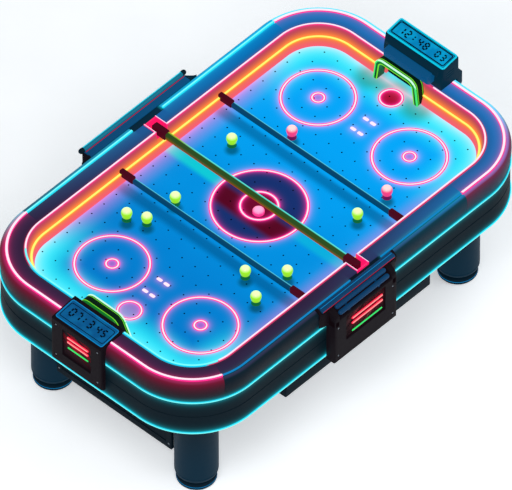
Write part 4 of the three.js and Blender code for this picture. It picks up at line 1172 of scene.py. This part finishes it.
def playfield():
    """A board with a small air hole in each cell of a square grid, filled out to a rounded edge."""
    mesh = bmesh.new()
    columns, rows = 24, 14
    corners = {}

    def inside(i, j):
        x, y = abs(i - columns / 2) * HOLE_PITCH, abs(j - rows / 2) * HOLE_PITCH
        return math.hypot(max(0, x - (HALF_L - CORNER)),
                          max(0, y - (HALF_W - CORNER))) < CORNER - BOARD_INSET - 0.012

    def vertex(i, j):
        if (i, j) not in corners:
            corners[i, j] = mesh.verts.new(((i - columns / 2) * HOLE_PITCH, (j - rows / 2) * HOLE_PITCH,
                                            PLAY))
        return corners[i, j]

    for i in range(columns):
        for j in range(rows):
            if all(inside(i + a, j + b) for a in (0, 1) for b in (0, 1)):
                holed_cell(mesh, [vertex(i, j), vertex(i + 1, j), vertex(i + 1, j + 1), vertex(i, j + 1)])
    rim = [e for e in mesh.edges if len(e.link_faces) == 1]
    edge = [mesh.verts.new(place - normal * BOARD_INSET + Vector((0, 0, PLAY))) for place,
            normal in ALL_ROUND]
    loop = [mesh.edges.new((a, b)) for a, b in zip(edge, edge[1:] + edge[:1])]
    bmesh.ops.triangle_fill(mesh, edges=rim + loop, use_beauty=True)
    down = bmesh.ops.extrude_edge_only(mesh, edges=loop)["geom"]
    bmesh.ops.translate(mesh, vec=(0, 0, -0.017), verts=[v for v in down
                                                         if isinstance(v, bmesh.types.BMVert)])
    bmesh.ops.holes_fill(mesh, edges=[e for e in mesh.edges if len(e.link_faces) == 1], sides=0)
    bmesh.ops.recalc_face_normals(mesh, faces=mesh.faces)
    return mesh


def holed_cell(mesh, square):
    """A square of board round one blind hole. The hole's faces take the second paint."""
    middle = (square[0].co + square[2].co) / 2
    angles = [math.radians(202.5 + 45 * k) for k in range(8)]
    top = [mesh.verts.new(middle + HOLE_RADIUS * Vector((math.cos(a), math.sin(a), 0))) for a in angles]
    low = [mesh.verts.new(v.co - Vector((0, 0, 0.008))) for v in top]
    for k in range(4):
        mesh.faces.new((square[k], square[(k + 1) % 4], top[(2 * k + 2) % 8], top[2 * k + 1]))
        mesh.faces.new((square[k], top[2 * k + 1], top[2 * k]))
    for k in range(8):
        mesh.faces.new((top[k], top[(k + 1) % 8], low[(k + 1) % 8], low[k])).material_index = 1
    mesh.faces.new(low).material_index = 1


def annulus(x, y, radius, width, steps=96):
    """A thin lit ring on the playing surface, with a bright line along its middle."""
    mesh = bmesh.new()
    core, rise = 0.42, 0.0004
    section = [(-1, 0.0), (-core, rise), (core, rise), (1, 0.0)]
    rings = []
    for i in range(steps):
        a = math.tau * i / steps
        rings.append([mesh.verts.new((x + (radius + u * width) * math.cos(a), y
                                      + (radius + u * width) * math.sin(a), PLAY + 0.0002 + v)) for u,
                      v in section])
    skin(mesh, rings, True)
    for face in mesh.faces:
        middle = face.calc_center_median()
        away = math.hypot(middle.x - x, middle.y - y) - radius
        face.material_index = int(abs(away) < core * width and face.normal.z > 0.5)
    return mesh


def markings():
    lit = (PAINT.pink, PAINT.pink_core)
    rings = [annulus(x, y, radius, 0.0074 if radius < 0.06 else 0.0080) for x, y, radius in RINGS + CREASES]
    piece("ring_lines", together(*rings), lit, "playfield")
    dashes = []
    for x in TICKS:
        for y in (-TICK_Y, TICK_Y):
            dash = pipe([(x, y - 0.008, 0), (x, y + 0.008, 0)], 0.0078, count=16)
            dash.transform(Matrix.Translation((0, 0, PLAY)) @ Matrix.Diagonal((1, 1, 0.07, 1)))
            dashes.append(dash)
    piece("tick_lines", together(*dashes), PAINT.pink_core, "playfield")


piece("playing_surface", playfield(), (PAINT.playfield, PAINT.hole), "playfield", "playfield")
markings()

# ---------------------------------------------------------------- pegs, puck and bars

END_BLOCK = 0.078 # length of the block at each end of a bar


def peg(x, y):
    """A stem that flares at its foot, under a ball-shaped cap."""
    stem, cap_z = 0.019, PLAY + 0.040
    profile = [(0, PLAY - 0.012), (0.014, PLAY - 0.012), (0.014, PLAY), (stem + 0.002, PLAY + 0.0006),
               (stem, PLAY + 0.004), (stem - 0.001, PLAY + 0.0205), (stem + 0.001, PLAY + 0.0215)]
    for step in range(-4, 13):
        angle = math.radians(7.5 * step)
        profile.append((PEG_CAP * math.cos(angle), cap_z + PEG_CAP * math.sin(angle)))
    profile[-1] = (0, cap_z + PEG_CAP)
    return lathe(profile, x, y, 32)


def pegs():
    for node, places in peg_places().items():
        paint = PAINT.peg_pink if "pink" in node else PAINT.lime
        piece(node + "_ball", together(*[peg(x, y) for x, y in places]), paint, node, node)


def puck():
    low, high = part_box("puck")
    x, y, radius = (low.x + high.x) / 2, (low.y + high.y) / 2, (high.x - low.x) / 2
    base, top = max(low.z, PLAY + 0.0009), high.z
    profile = [(0, base), (radius - 0.003, base), (radius, base + 0.003), (radius, base + 0.009),
               (radius - 0.0012, base + 0.0105), (radius, base + 0.012)]
    for step in range(1, 10):
        angle = math.radians(10 * step)
        profile.append((radius * math.cos(angle), base + 0.012 + (top - base - 0.012) * math.sin(angle)))
    profile[-1] = (0, top)
    piece("puck_body", lathe(profile, x, y, 56), PAINT.puck, "puck", "puck")


def bar_rod(node, width, base, top, undercut=()):
    """A rounded rod of that width, from base to top, and the two blocks that hold its ends."""
    low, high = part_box(node)
    middle, reach = (low.x + high.x) / 2, high.y - END_BLOCK
    rod = block((middle - width / 2, -reach - 0.01, base), (middle + width / 2, reach + 0.01, top), 0.004)
    ends = []
    for side in (-1, 1):
        end = block(*room((low.x, high.x), (side * reach, side * high.y), (low.z, high.z)), 0.007, 4)
        ends.append(cut(end, room((-2, 2), *undercut[side])) if undercut else end)
    return rod, together(*ends)


def bars():
    """The bar over the middle of the rink, and the two cross bars, whose ends clear the wall's light tube."""
    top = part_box("centre_bar")[1].z - 0.005
    rod, ends = bar_rod("centre_bar", 0.023, RAIL_TOP - 0.036, top)
    piece("centre_bar_rod", rod, PAINT.olive, "centre_bar", "centre_bar")
    piece("centre_bar_ends", ends, PAINT.maroon, "centre_bar")
    undercut = {side: ((side * 0.511, side * 0.6), (PLAY, PLAY + 0.057)) for side in (-1, 1)}
    for name in ("near", "far"):
        node = "cross_bar_" + name
        low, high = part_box(node)
        rod, ends = bar_rod(node, 0.017, high.z - 0.034, high.z - 0.009, undercut)
        paint = PAINT.cross_bar_paint(node, (low.x + high.x) / 2)
        piece(node + "_rod", rod, paint, node, node)
        piece(node + "_ends", ends, PAINT.maroon, node)


def saddles():
    """A lit U-shaped channel in each notch, with a bright line along both its top edges."""
    wall = 0.006
    for name, side in (("left", 1), ("right", -1)):
        node = "bar_saddle_" + name
        low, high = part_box(node)
        inner, outer = sorted((abs(low.y), abs(high.y)))
        hollow = room((low.x + wall, high.x - wall), (side * (inner - 0.02), side * (outer - wall)),
                      (low.z + wall, high.z + 0.02))
        piece(node + "_tray", cut(block(low, high, 0.002), hollow), PAINT.saddle, node, node)
        ends = sorted((side * (inner + 0.002), side * (outer - 0.002)))
        edges = [pipe([(x, y, high.z + 0.001) for y in ends], 0.0028)
                 for x in (low.x + wall / 2, high.x - wall / 2)]
        piece(node + "_lines", bright_core(together(*edges), UP), (PAINT.pink, PAINT.pink_core), node)


pegs()
puck()
bars()
saddles()

# ---------------------------------------------------------------- goals

ARCH_TOPS = {"near": 0.196, "far": 0.206}
ARCH_BAND = 0.020


def arch_path(end, inset):
    """(y, z) points along the arch, inset from its outer edge, from its low-Y foot to its high-Y foot."""
    low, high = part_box("goal_frame_" + end)
    middle, half, apex = (low.y + high.y) / 2, (high.y - low.y) / 2 - inset, high.z - inset
    top, bend = ARCH_TOPS[end] / 2 - inset * 0.8, 0.034 - inset * 0.6
    shoulder, crown = Vector((-top - bend * 0.35, apex - bend)), Vector((-top + bend, apex))
    peak = Vector((-top, apex))
    left_side = [Vector((-half, PLAY + 0.0006)), Vector((-half, PLAY + 0.0006)).lerp(shoulder, 0.5)]
    left_side += [shoulder.lerp(peak, t / 8).lerp(peak.lerp(crown, t / 8), t / 8) for t in range(9)]
    whole = left_side + [Vector((-p.x, p.y)) for p in reversed(left_side)]
    return [(middle + p.x, p.y) for p in whole]


def arch_band(end, inset, section):
    """A section of (x, out) points swept along the arch. The path is inset from the arch's outer edge."""
    path = [Vector((0, y, z)) for y, z in arch_path(end, inset)]
    mesh = bmesh.new()
    rings = []
    for i, point in enumerate(path):
        along = (path[min(i + 1, len(path) - 1)] - path[max(i - 1, 0)]).normalized()
        out = Vector((0, -along.z, along.y))
        if i in (0, len(path) - 1):
            out = Vector((0, -1 if i == 0 else 1, 0))
        rings.append([mesh.verts.new(Vector((u, point.y, point.z)) + out * v) for u, v in section])
    skin(mesh, rings, False)
    return mesh


def goals():
    """Arches: a green frame with a dark channel along its outer face and lit lines along its edges."""
    for end, sign in (("near", -1), ("far", 1)):
        node = "goal_frame_" + end
        low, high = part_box(node)
        front, back = (low.x, high.x) if sign > 0 else (high.x, low.x)
        middle, depth = (front + back) / 2, abs(front - back)
        body = arch_band(end, ARCH_BAND / 2, rounded_section(middle, depth / 2, ARCH_BAND / 2, 0.008))
        piece(node + "_arch", body, PAINT.green, node, node)
        channel = arch_band(end, 0.0005, rounded_section(middle + sign * 0.001, depth / 2 - 0.013, 0.0009,
                                                         0.0008))
        piece(node + "_channel", channel, PAINT.goal_dark, node)

        def line(inset, x, radius):
            return pipe([(x, y, z) for y, z in arch_path(end, inset)], radius, count=12)

        outer = bright_core(line(0.0025, front + sign * 0.0035, 0.0046), UP, 0.35)
        piece(node + "_outer_line", outer, (PAINT.green_line, PAINT.green_core), node)
        inner = together(line(ARCH_BAND - 0.002, front + sign * 0.002, 0.0028),
                         line(0.0010, front + sign * 0.0135, 0.0019),
                         line(0.0012, back - sign * 0.0115, 0.0021))
        piece(node + "_inner_lines", inner, PAINT.green_edge, node)


def rounded_section(middle, half_u, half_v, radius):
    """A rounded rectangle as (u, v) points."""
    points = []
    for su, sv, first in ((1, 1, 0), (-1, 1, 90), (-1, -1, 180), (1, -1, 270)):
        for step in range(4):
            angle = math.radians(first + 30 * step)
            points.append((middle + su * (half_u - radius) + radius * math.cos(angle),
                           sv * (half_v - radius) + radius * math.sin(angle)))
    return points


goals()

# ---------------------------------------------------------------- scoreboards

def light_bars(name, panel, middle, half, red_heights, green_height, like):
    """Two thick red bars with bright middles over a thin green one."""
    span = (middle - half, middle + half)
    out = panel.matrix.col[2].to_3d()
    reds = [bright_core(panel.bar(span, b, 0.0062, 0.001), (out + UP * 0.5).normalized(), 0.82)
            for b in red_heights]
    piece(name + "_red_bars", together(*reds), (PAINT.red, PAINT.red_core), like)
    piece(name + "_green_bar", panel.bar(span, green_height, 0.0036, 0.001), PAINT.signal, like)


def window_paint(name, panel, middle, heights, half):
    """Dark, with a red glow round the light bars in it."""
    paint = plastic(name, srgb(16, 8, 14), srgb(20, 9, 16), 0.7, roughness=0.4, specular=0.1)
    for height in heights:
        for step in (-0.66, 0.0, 0.66):
            glow_near(paint, RED, panel.matrix @ Vector((middle + half * step, height, 0)), 0.019, 0.5)
    return paint


def light_panel(name, like, front, window, bezel, middle, half, heights, screws):
    """A sunk window behind a bezel, with light bars in it and a screw near each corner of the face.

    window is its (half width, low, high), bezel its (half width, half height, radius), and heights are the
    places of the two red bars and the green one.
    """
    across, low, high = window
    glass = front.slab((-across, across), (low, high), (-0.001, 0.0005))
    piece(name + "_window", glass, window_paint(name + "_window", front, middle, heights[:2], half + 0.002),
          like)
    half_a, half_b, radius = bezel
    rim = front.rim(half_a, half_b, radius, lift=WINDOW_DEPTH - radius - 0.0001,
                    middle=(0, (low + high) / 2))
    piece(name + "_bezel", rim, PAINT.console, like)
    light_bars(name, front, middle, half, heights[:2], heights[2], like)
    heads = [front.screw(a, b, lift=WINDOW_DEPTH + 0.0003 - SCREW_DEPTH) for a, b in screws]
    piece(name + "_screws", together(*heads), PAINT.steel, like)


def display(end, top, half_a, half_b, paint, trim, trim_rim, frame_rim, numbers):
    """A glass plate with a lit rim round it, a dark line inside it, and dark digits.

    A rim is its (growth of the half width, growth of the half height, radius).
    """
    like, glass_node = "scoreboard_" + end, "display_" + end
    glass = top.slab((-half_a, half_a), (-half_b, half_b), (-0.0015, 0.0006), 0.0004)
    piece(like + "_glass", glass, paint, glass_node, glass_node)
    for name, rim, colour in (("_rim", trim_rim, trim), ("_frame", frame_rim, PAINT.digit)):
        piece(like + name, top.rim(half_a + rim[0], half_b + rim[1], rim[2]), colour, like)
    rows = [digits(top, *row, lift=0.0006) for row in numbers]
    piece(like + "_digits", together(*rows), PAINT.digit, glass_node)


def scoreboard_near():
    """A case over the rail: a display on its slope, and light bars on the face that hangs outside."""
    low, high = BOARD_NEAR
    rink, back = HALF_L - RAIL_WIDTH, HALF_L + 0.005
    under, behind = PLAY + 0.0464, rink + 0.0124
    top_in, top_out = high.z, RAIL_TOP - 0.002
    outline = [(-rink, RAIL_TOP + 0.0004), (-rink, top_in), (low.x + 0.004, top_out),
               (low.x, top_out - 0.006), (low.x, low.z + 0.014), (low.x + 0.014, low.z), (-back, low.z),
               (-back, under), (-behind, under), (-behind, RAIL_TOP + 0.0004)]
    half, outside = high.y, (low.x - 0.01, low.x + SCREW_DEPTH)
    screws = [(a, b) for a in (-0.118, 0.118) for b in (0.585, 0.765)]
    cuts = [room((low.x - 0.01, low.x + WINDOW_DEPTH - 0.0005), (-0.082, 0.082), (0.610, 0.765))]
    cuts += [room((low.x + 0.010, low.x + 0.026), (side * half - 0.003, side * half + 0.003),
                  (z, z + 0.004)) for side in (-1, 1) for z in (0.60, 0.612, 0.624, 0.636, 0.648)]
    cuts += [room(outside, (a - POCKET_HALF, a + POCKET_HALF), (b - POCKET_HALF, b + POCKET_HALF))
             for a, b in screws]
    case = cut(prism(outline, "Y", -half, half, 0.0035), *cuts)
    piece("scoreboard_near_case", case, PAINT.console, "scoreboard_near", "scoreboard_near")
    slope = Vector((-rink - (low.x + 0.004), 0, top_in - top_out)).normalized()
    middle_x = -(rink + 0.020 + HALF_L + 0.021) / 2
    middle_z = top_out + (top_in - top_out) * (middle_x - low.x) / (-rink - low.x)
    top = Panel((middle_x, 0, middle_z + 0.0008), (0, -1, 0), slope)
    numbers = [("07:3", (-0.035, 0.004), 0.034, 0.019, 0.038, 0.0070),
               ("45", (0.076, 0.004), 0.032, 0.017, 0.034, 0.0066)]
    display("near", top, half - 0.013, 0.052, PAINT.display_near, PAINT.faint_cyan, (0.002, 0.002, 0.0020),
            (-0.006, -0.012, 0.0018), numbers)
    front = Panel((low.x + WINDOW_DEPTH, 0, 0.0), (0, -1, 0), (0, 0, 1))
    light_panel("scoreboard_near", "scoreboard_near", front, (0.0815, 0.6105, 0.7645),
                (0.083, 0.079, 0.0032), 0.004, 0.055, (0.728, 0.703, 0.668), screws)


FAR_FACE, FAR_BACK = 0.968, 1.064 # inner and outer sides of the far display's top
FAR_TRIM = 0.0038 # how far the lit trim stands above the case


def scoreboard_far():
    """A box that stands on the rail and hangs over its outside, with a shelf towards the rink."""
    low, high = BOARD_FAR
    half, top_out, top_in = high.y, high.z - FAR_TRIM, high.z - FAR_TRIM - 0.015
    box_out, rest = high.x, RAIL_TOP + 0.0004
    outline = [(FAR_FACE, top_in - 0.006), (FAR_FACE + 0.004, top_in), (FAR_BACK - 0.004, top_out),
               (FAR_BACK, top_out - 0.006), (FAR_BACK, RAIL_TOP + 0.040), (box_out, RAIL_TOP + 0.024),
               (box_out, RAIL_TOP - 0.044), (box_out - 0.008, RAIL_TOP - 0.052),
               (HALF_L + 0.001, RAIL_TOP - 0.052), (HALF_L + 0.001, rest), (0.956, rest), (0.956, 0.842)]
    slots = [room((FAR_FACE - 0.03, FAR_FACE + 0.004), (y - 0.045, y + 0.045), (z, z + 0.005))
             for y in (-0.105, 0.105) for z in (0.886, 0.900)]
    slots += [room((0.985, 1.035), (side * half - 0.003, side * half + 0.003), (z, z + 0.005))
              for side in (-1, 1) for z in (0.850, 0.864, 0.878)]
    case = cut(prism(outline, "Y", -half, half, 0.0035), *slots)
    piece("scoreboard_far_case", case, PAINT.console, "scoreboard_far", "scoreboard_far")
    shelf = [(low.x, 0.846), (low.x, 0.884), (0.972, 0.892), (0.972, 0.830), (low.x + 0.016, 0.830)]
    piece("scoreboard_far_shelf", prism(shelf, "Y", -0.124, 0.124, 0.004), PAINT.blue, "scoreboard_far")
    lip = [(0.944, 0.880), (0.944, 0.900), (0.972, 0.906), (0.972, 0.880)]
    piece("scoreboard_far_lip", prism(lip, "Y", -0.148, 0.148, 0.004), PAINT.console, "scoreboard_far")
    slope = Vector((FAR_BACK - FAR_FACE, 0, top_out - top_in)).normalized()
    top = Panel(((FAR_FACE + FAR_BACK) / 2, 0, (top_in + top_out) / 2), (0, -1, 0), slope)
    numbers = [("12:48", (-0.045, 0.0), 0.034, 0.018, 0.034, 0.0070),
               ("03", (0.105, 0.0), 0.032, 0.016, 0.030, 0.0066)]
    display("far", top, half - 0.013, 0.037, PAINT.display_far, PAINT.trim, (0.0075, 0.0068, 0.0044),
            (-0.004, -0.004, 0.0028), numbers)


scoreboard_near()
scoreboard_far()

# ---------------------------------------------------------------- control console, on the right side

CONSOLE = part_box("console_housing")
CONSOLE_X, CONSOLE_HALF = -0.086, 0.187
CONSOLE_BACK = -(HALF_W + 0.005)
PUSH_BARS = {"upper": (-0.674, 0.782), "lower": (-0.694, 0.762)} # (y, z) of each bar's middle line
PUSH_RADIUS, PUSH_HALF = 0.011, 0.150
PLUNGERS = (-0.090, 0.090) # where each bar's plungers are, from its middle


def console_case(out, base, screws):
    """The body, open at the window, the screws and the slots that the push bars' plungers run in."""
    body = [(out, base + 0.008), (out + 0.008, base), (CONSOLE_BACK, base), (CONSOLE_BACK, 0.784),
            (CONSOLE_BACK - 0.006, 0.784), (CONSOLE_BACK - 0.006, 0.762), (-0.680, 0.760), (-0.683, 0.742),
            (out + 0.004, 0.741), (out, 0.737)]
    cuts = [room((CONSOLE_X - 0.120, CONSOLE_X + 0.120), (out - 0.01, out + WINDOW_DEPTH - 0.0005),
                 (0.585, 0.728))]
    cuts += [room((CONSOLE_X + dx - 0.006, CONSOLE_X + dx + 0.006), (y - 0.005, y + 0.005), (z - 0.033, z))
             for y, z in PUSH_BARS.values() for dx in PLUNGERS]
    cuts += [room((CONSOLE_X + a - POCKET_HALF, CONSOLE_X + a + POCKET_HALF),
                  (out - 0.01, out + SCREW_DEPTH), (b - POCKET_HALF, b + POCKET_HALF)) for a, b in screws]
    case = cut(prism(body, "X", CONSOLE_X - CONSOLE_HALF, CONSOLE_X + CONSOLE_HALF, 0.003), *cuts)
    piece("console_case", case, PAINT.console, "console_housing", "console_housing")


def console_cheeks(out):
    """The raised ends beside the push bars."""
    cheek = [(out, 0.700), (out, 0.752), (out + 0.003, 0.761), (-0.690, 0.778), (-0.676, 0.786),
             (-0.664, 0.790), (CONSOLE_BACK, 0.790), (CONSOLE_BACK, 0.700)]
    inner = PUSH_HALF + 0.008
    cheeks = [prism(cheek, "X", *sorted((CONSOLE_X + side * inner, CONSOLE_X + side * CONSOLE_HALF)), 0.005,
                    4) for side in (-1, 1)]
    piece("console_cheeks", together(*cheeks), PAINT.console, "console_housing")


def console_brackets():
    """A wing against the cabinet at each end, and the lug on it that carries the hood's hinge."""
    back, wings = CONSOLE_BACK, []
    lug = [(back - 0.010, 0.760), (back, 0.760), (back, 0.784), (-0.642, 0.794), (-0.633, 0.798),
           (-0.633, 0.806), (-0.640, 0.811), (-0.650, 0.808), (back - 0.010, 0.790)]
    for side in (-1, 1):
        root, bend, tip = (CONSOLE_X + side * reach for reach in (0.182, 0.214, 0.233))
        wing = [(root, back), (tip, back), (tip, back - 0.003), (bend, back - 0.012), (root, back - 0.016)]
        wings.append(prism(wing, "Z", 0.706, 0.786, 0.0015))
        wings.append(prism(lug, "X", *sorted((CONSOLE_X + side * 0.222, tip)), 0.002))
    piece("console_brackets", together(*wings), PAINT.console, "console_housing")


def console():
    out, base = CONSOLE[0].y, CONSOLE[0].z
    screws = [(a, b) for a in (-0.165, 0.165) for b in (0.525, 0.690)]
    console_case(out, base, screws)
    console_cheeks(out)
    console_brackets()
    front = Panel((CONSOLE_X, out + WINDOW_DEPTH, 0.0), (1, 0, 0), (0, 0, 1))
    light_panel("console", "console_housing", front, (0.1195, 0.5855, 0.7275), (0.121, 0.0725, 0.0030),
                0.013, 0.088, (0.683, 0.653, 0.606), screws)


def push_bars():
    """Two round bars with a collar near each end, on plungers that run into the case."""
    reach = PUSH_HALF - 0.009
    for name, (y, z) in PUSH_BARS.items():
        node = "push_bar_" + name
        parts = [pipe([(CONSOLE_X - reach, y, z), (CONSOLE_X + reach, y, z)], PUSH_RADIUS - 0.0003,
                      count=20)]
        for x in [CONSOLE_X + dx for dx in PLUNGERS]:
            parts.append(block((x - 0.005, y - 0.004, z - PUSH_RADIUS - 0.014),
                               (x + 0.005, y + 0.004, z - 0.006), 0.001))
        for x in (CONSOLE_X - reach + 0.006, CONSOLE_X + reach - 0.006):
            parts.append(pipe([(x - 0.002, y, z), (x + 0.002, y, z)], PUSH_RADIUS, count=20))
        piece(node + "_grip", together(*parts), PAINT.blue, node, node)


def console_hood():
    low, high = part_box("console_hood")
    top, hinge = RAIL_TOP, -HALF_W + 0.009
    profile = [(hinge + 0.008, top + 0.003), (hinge + 0.006, top + 0.007), (hinge + 0.002, top + 0.0088),
               (-0.652, top + 0.0085), (-0.660, top + 0.0065), (-0.666, top + 0.002), (low.y, top - 0.004),
               (-0.6655, top - 0.005), (-0.662, top - 0.0045), (-0.6595, top - 0.0005),
               (-0.656, top + 0.001), (hinge - 0.004, top + 0.001), (hinge, top - 0.005),
               (hinge + 0.005, top - 0.004)]
    piece("console_hood_cover", prism(profile, "X", low.x, high.x, 0.0012, 2), PAINT.blue, "console_hood",
          "console_hood")
    reach = (high.x - low.x) / 2 - 0.006
    middle = (high.x + low.x) / 2
    line = pipe([(middle - reach, low.y + 0.0008, top - 0.003),
                 (middle + reach, low.y + 0.0008, top - 0.003)], 0.0018)
    piece("console_hood_line", line, PAINT.faint_red, "console_hood")
    # Painted highlight: a thin cyan line along the hood's top, by its rounded front edge.
    edge = pipe([(middle - reach, -0.650, top + 0.0092), (middle + reach, -0.650, top + 0.0092)], 0.0013)
    piece("console_hood_highlight", edge, PAINT.faint_cyan, "console_hood")


console()
push_bars()
console_hood()

# ---------------------------------------------------------------- puck tray, on the left side

def tray():
    low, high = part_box("tray_housing")
    back, out, base, top = HALF_W + 0.005, high.y, low.z, 0.790
    middle, reach, flare = (low.x + high.x) / 2, (high.x - low.x) / 2, 0.060
    plan = [(middle + reach, back)]
    steps = [(t / 8, (1 - math.cos(math.pi * t / 8)) / 2) for t in range(1, 9)]
    plan += [(middle + reach - flare * along, back + (out - back) * up) for along, up in steps]
    plan += [(2 * middle - x, y) for x, y in reversed(plan)]
    hollow = ((low.x + flare + 0.006, back + 0.004, base + 0.008),
              (high.x - flare - 0.006, out - 0.005, 0.85))
    finger = [((middle + x - 0.035, out - 0.002, 0.60), (middle + x + 0.035, out + 0.01, 0.612))
              for x in (-0.18, 0, 0.18)]
    case = cut(prism(plan, "Z", base, top, 0.003), hollow, *finger)
    piece("tray_case", case, PAINT.console, "tray_housing", "tray_housing")
    hinge_y = back - 0.004
    lugs = []
    for side in (-1, 1):
        a, b = sorted((middle + side * 0.303, middle + side * 0.311))
        lug = [(hinge_y - 0.004, 0.780), (hinge_y + 0.012, 0.780), (hinge_y + 0.012, 0.796),
               (hinge_y + 0.006, RAIL_TOP + 0.002), (hinge_y - 0.004, RAIL_TOP + 0.002)]
        lugs.append(prism(lug, "X", a, b, 0.0015))
    piece("tray_lugs", together(*lugs), PAINT.console, "tray_housing")


def tray_lid():
    low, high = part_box("tray_lid")
    plate_half, middle = (high.x - low.x) / 2 - 0.020, (low.x + high.x) / 2
    out = high.y - 0.008
    plate = prism([(low.y, 0.7904), (out, 0.7904), (out, 0.800), (low.y, 0.800)], "X", middle - plate_half,
                  middle + plate_half, 0.002)
    piece("tray_lid_plate", plate, PAINT.blue, "tray_lid", "tray_lid")
    y, z, radius = high.y - 0.0125, high.z - 0.0112, 0.0110
    grip = pipe([(low.x + 0.016, y, z), (high.x - 0.016, y, z)], radius, count=20)
    piece("tray_lid_handle", grip, PAINT.handle, "tray_lid")
    caps = []
    for x, way in ((low.x, 1), (high.x, -1)):
        caps.append(pipe([(x + way * 0.009, y, z), (x + way * 0.019, y, z)], radius + 0.0010, count=20))
    piece("tray_lid_caps", together(*caps), PAINT.rubber, "tray_lid")
    # Painted highlight: a cyan line along the top of the round handle.
    edge = pipe([(low.x + 0.024, y + 0.003, z + 0.0105), (high.x - 0.024, y + 0.003, z + 0.0105)], 0.0018)
    piece("tray_lid_highlight", edge, PAINT.cyan, "tray_lid")
    line = pipe([(low.x + 0.024, y - 0.016, 0.8012), (high.x - 0.024, y - 0.016, 0.8012)], 0.0018)
    piece("tray_lid_line", line, PAINT.faint_red, "tray_lid")
    stays = []
    for share in (-0.8, -0.27, 0.27, 0.8):
        x = middle + plate_half * share
        stays.append(block((x - 0.012, y - 0.006, 0.798), (x + 0.012, y + 0.006, z - 0.004), 0.002))
    piece("tray_lid_stays", together(*stays), PAINT.console, "tray_lid")


tray()
tray_lid()

# ---------------------------------------------------------------- legs, feet and underframe

def leg(name):
    """A round leg with a rounded foot end, a groove above it and a bore for the levelling stud."""
    node = "leg_" + name
    low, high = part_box(node)
    x, y, radius = (low.x + high.x) / 2, (low.y + high.y) / 2, (high.x - low.x) / 2
    base, top, bore = low.z, high.z, 0.0124
    profile = [(0, base + 0.062), (bore, base + 0.062), (bore, base), (radius - 0.016, base),
               (radius - 0.010, base + 0.002), (radius - 0.004, base + 0.009),
               (radius - 0.001, base + 0.017), (radius - 0.0005, base + 0.024),
               (radius - 0.0022, base + 0.0252), (radius - 0.0022, base + 0.0278),
               (radius - 0.0003, base + 0.029), (radius - 0.0003, base + 0.038),
               (radius - 0.0006, base + 0.10), (radius - 0.0006, top - 0.05), (radius, top - 0.048),
               (radius, top), (0, top)]
    piece(node + "_tube", lathe(profile, x, y, 72), PAINT.leg, node, node)


def foot(name):
    """A grooved pad with a faint line round it, on a threaded stud."""
    node = "foot_" + name
    low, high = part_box(node)
    x, y, radius = (low.x + high.x) / 2, (low.y + high.y) / 2, (high.x - low.x) / 2
    stud = 0.012
    profile = [(0, 0), (radius - 0.014, 0), (radius - 0.006, 0.003), (radius - 0.001, 0.010),
               (radius, 0.014), (radius, 0.0175), (radius - 0.003, 0.0190), (radius - 0.003, 0.0212),
               (radius - 0.0005, 0.0225), (radius - 0.0005, 0.0335), (radius - 0.004, 0.0375),
               (radius - 0.010, 0.040), (stud, 0.040)]
    for turn in range(11):
        z = 0.044 + 0.004 * turn
        profile += [(stud, z), (stud - 0.0014, z + 0.002)]
    profile += [(stud - 0.0015, high.z), (0, high.z)]
    piece(node + "_pad", lathe(profile, x, y, 72), PAINT.rubber, node, node)
    turns, reach = [math.radians(6 * step) for step in range(60)], radius - 0.0012
    line = pipe([(x + reach * math.cos(a), y + reach * math.sin(a), 0.0201) for a in turns], 0.0011,
                closed=True, count=6)
    piece(node + "_line", line, PAINT.faint_cyan, node)


def service_box():
    """An open-topped box under the cabinet, with vents, floor slots and an inlet opening."""
    low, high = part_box("service_box")
    wall = 0.016
    rooms = [room((low.x + wall, high.x - wall), (low.y + wall, high.y - wall),
                  (low.z + wall, high.z + 0.02))]
    rooms += [room((-0.120, 0.120), (y - 0.009, y + 0.009), (low.z - 0.01, low.z + 0.02))
              for y in (-0.072, -0.036, 0.0, 0.036, 0.072)]
    rooms.append(room((high.x - 0.020, high.x + 0.01), (0.200, 0.247), (0.400, 0.427)))
    rooms += [room((x - 0.004, x + 0.004), (edge - 0.004, edge + 0.004), (0.385, 0.465))
              for x in [side * 0.27 + (k - 4) * 0.022 for side in (-1, 1) for k in range(9)]
              for edge in (low.y, high.y)]
    piece("service_box_case", cut(block(low, high, 0.006), *rooms), PAINT.panel, "service_box",
          "service_box")


def end_aprons():
    """A board between the legs at each end, sunk on its face and hollow behind, with four screws."""
    for end, sign in (("near", -1), ("far", 1)):
        node = "end_apron_" + end
        low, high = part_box(node)
        outer, inner = (high.x, low.x) if sign > 0 else (low.x, high.x)
        sunk = room((outer - sign * 0.0025, outer + sign * 0.01), (low.y + 0.030, high.y - 0.030),
                    (low.z + 0.035, high.z - 0.035))
        back = room((inner - sign * 0.01, inner + sign * 0.006), (low.y + 0.030, high.y - 0.030),
                    (low.z + 0.030, high.z - 0.030))
        piece(node + "_board", cut(block(low, high, 0.004), sunk, back), PAINT.panel, node, node)
        face = Panel((outer, 0, 0), (0, sign, 0), (0, 0, 1))
        screws = [face.screw(a, b, lift=-0.0003) for a in (low.y + 0.015, high.y - 0.015)
                  for b in (low.z + 0.03, high.z - 0.03)]
        piece(node + "_screws", together(*screws), PAINT.steel, node)


for place in [end + "_" + side for end in ("near", "far") for side in ("left", "right")]:
    leg(place)
    foot(place)
service_box()
end_aprons()
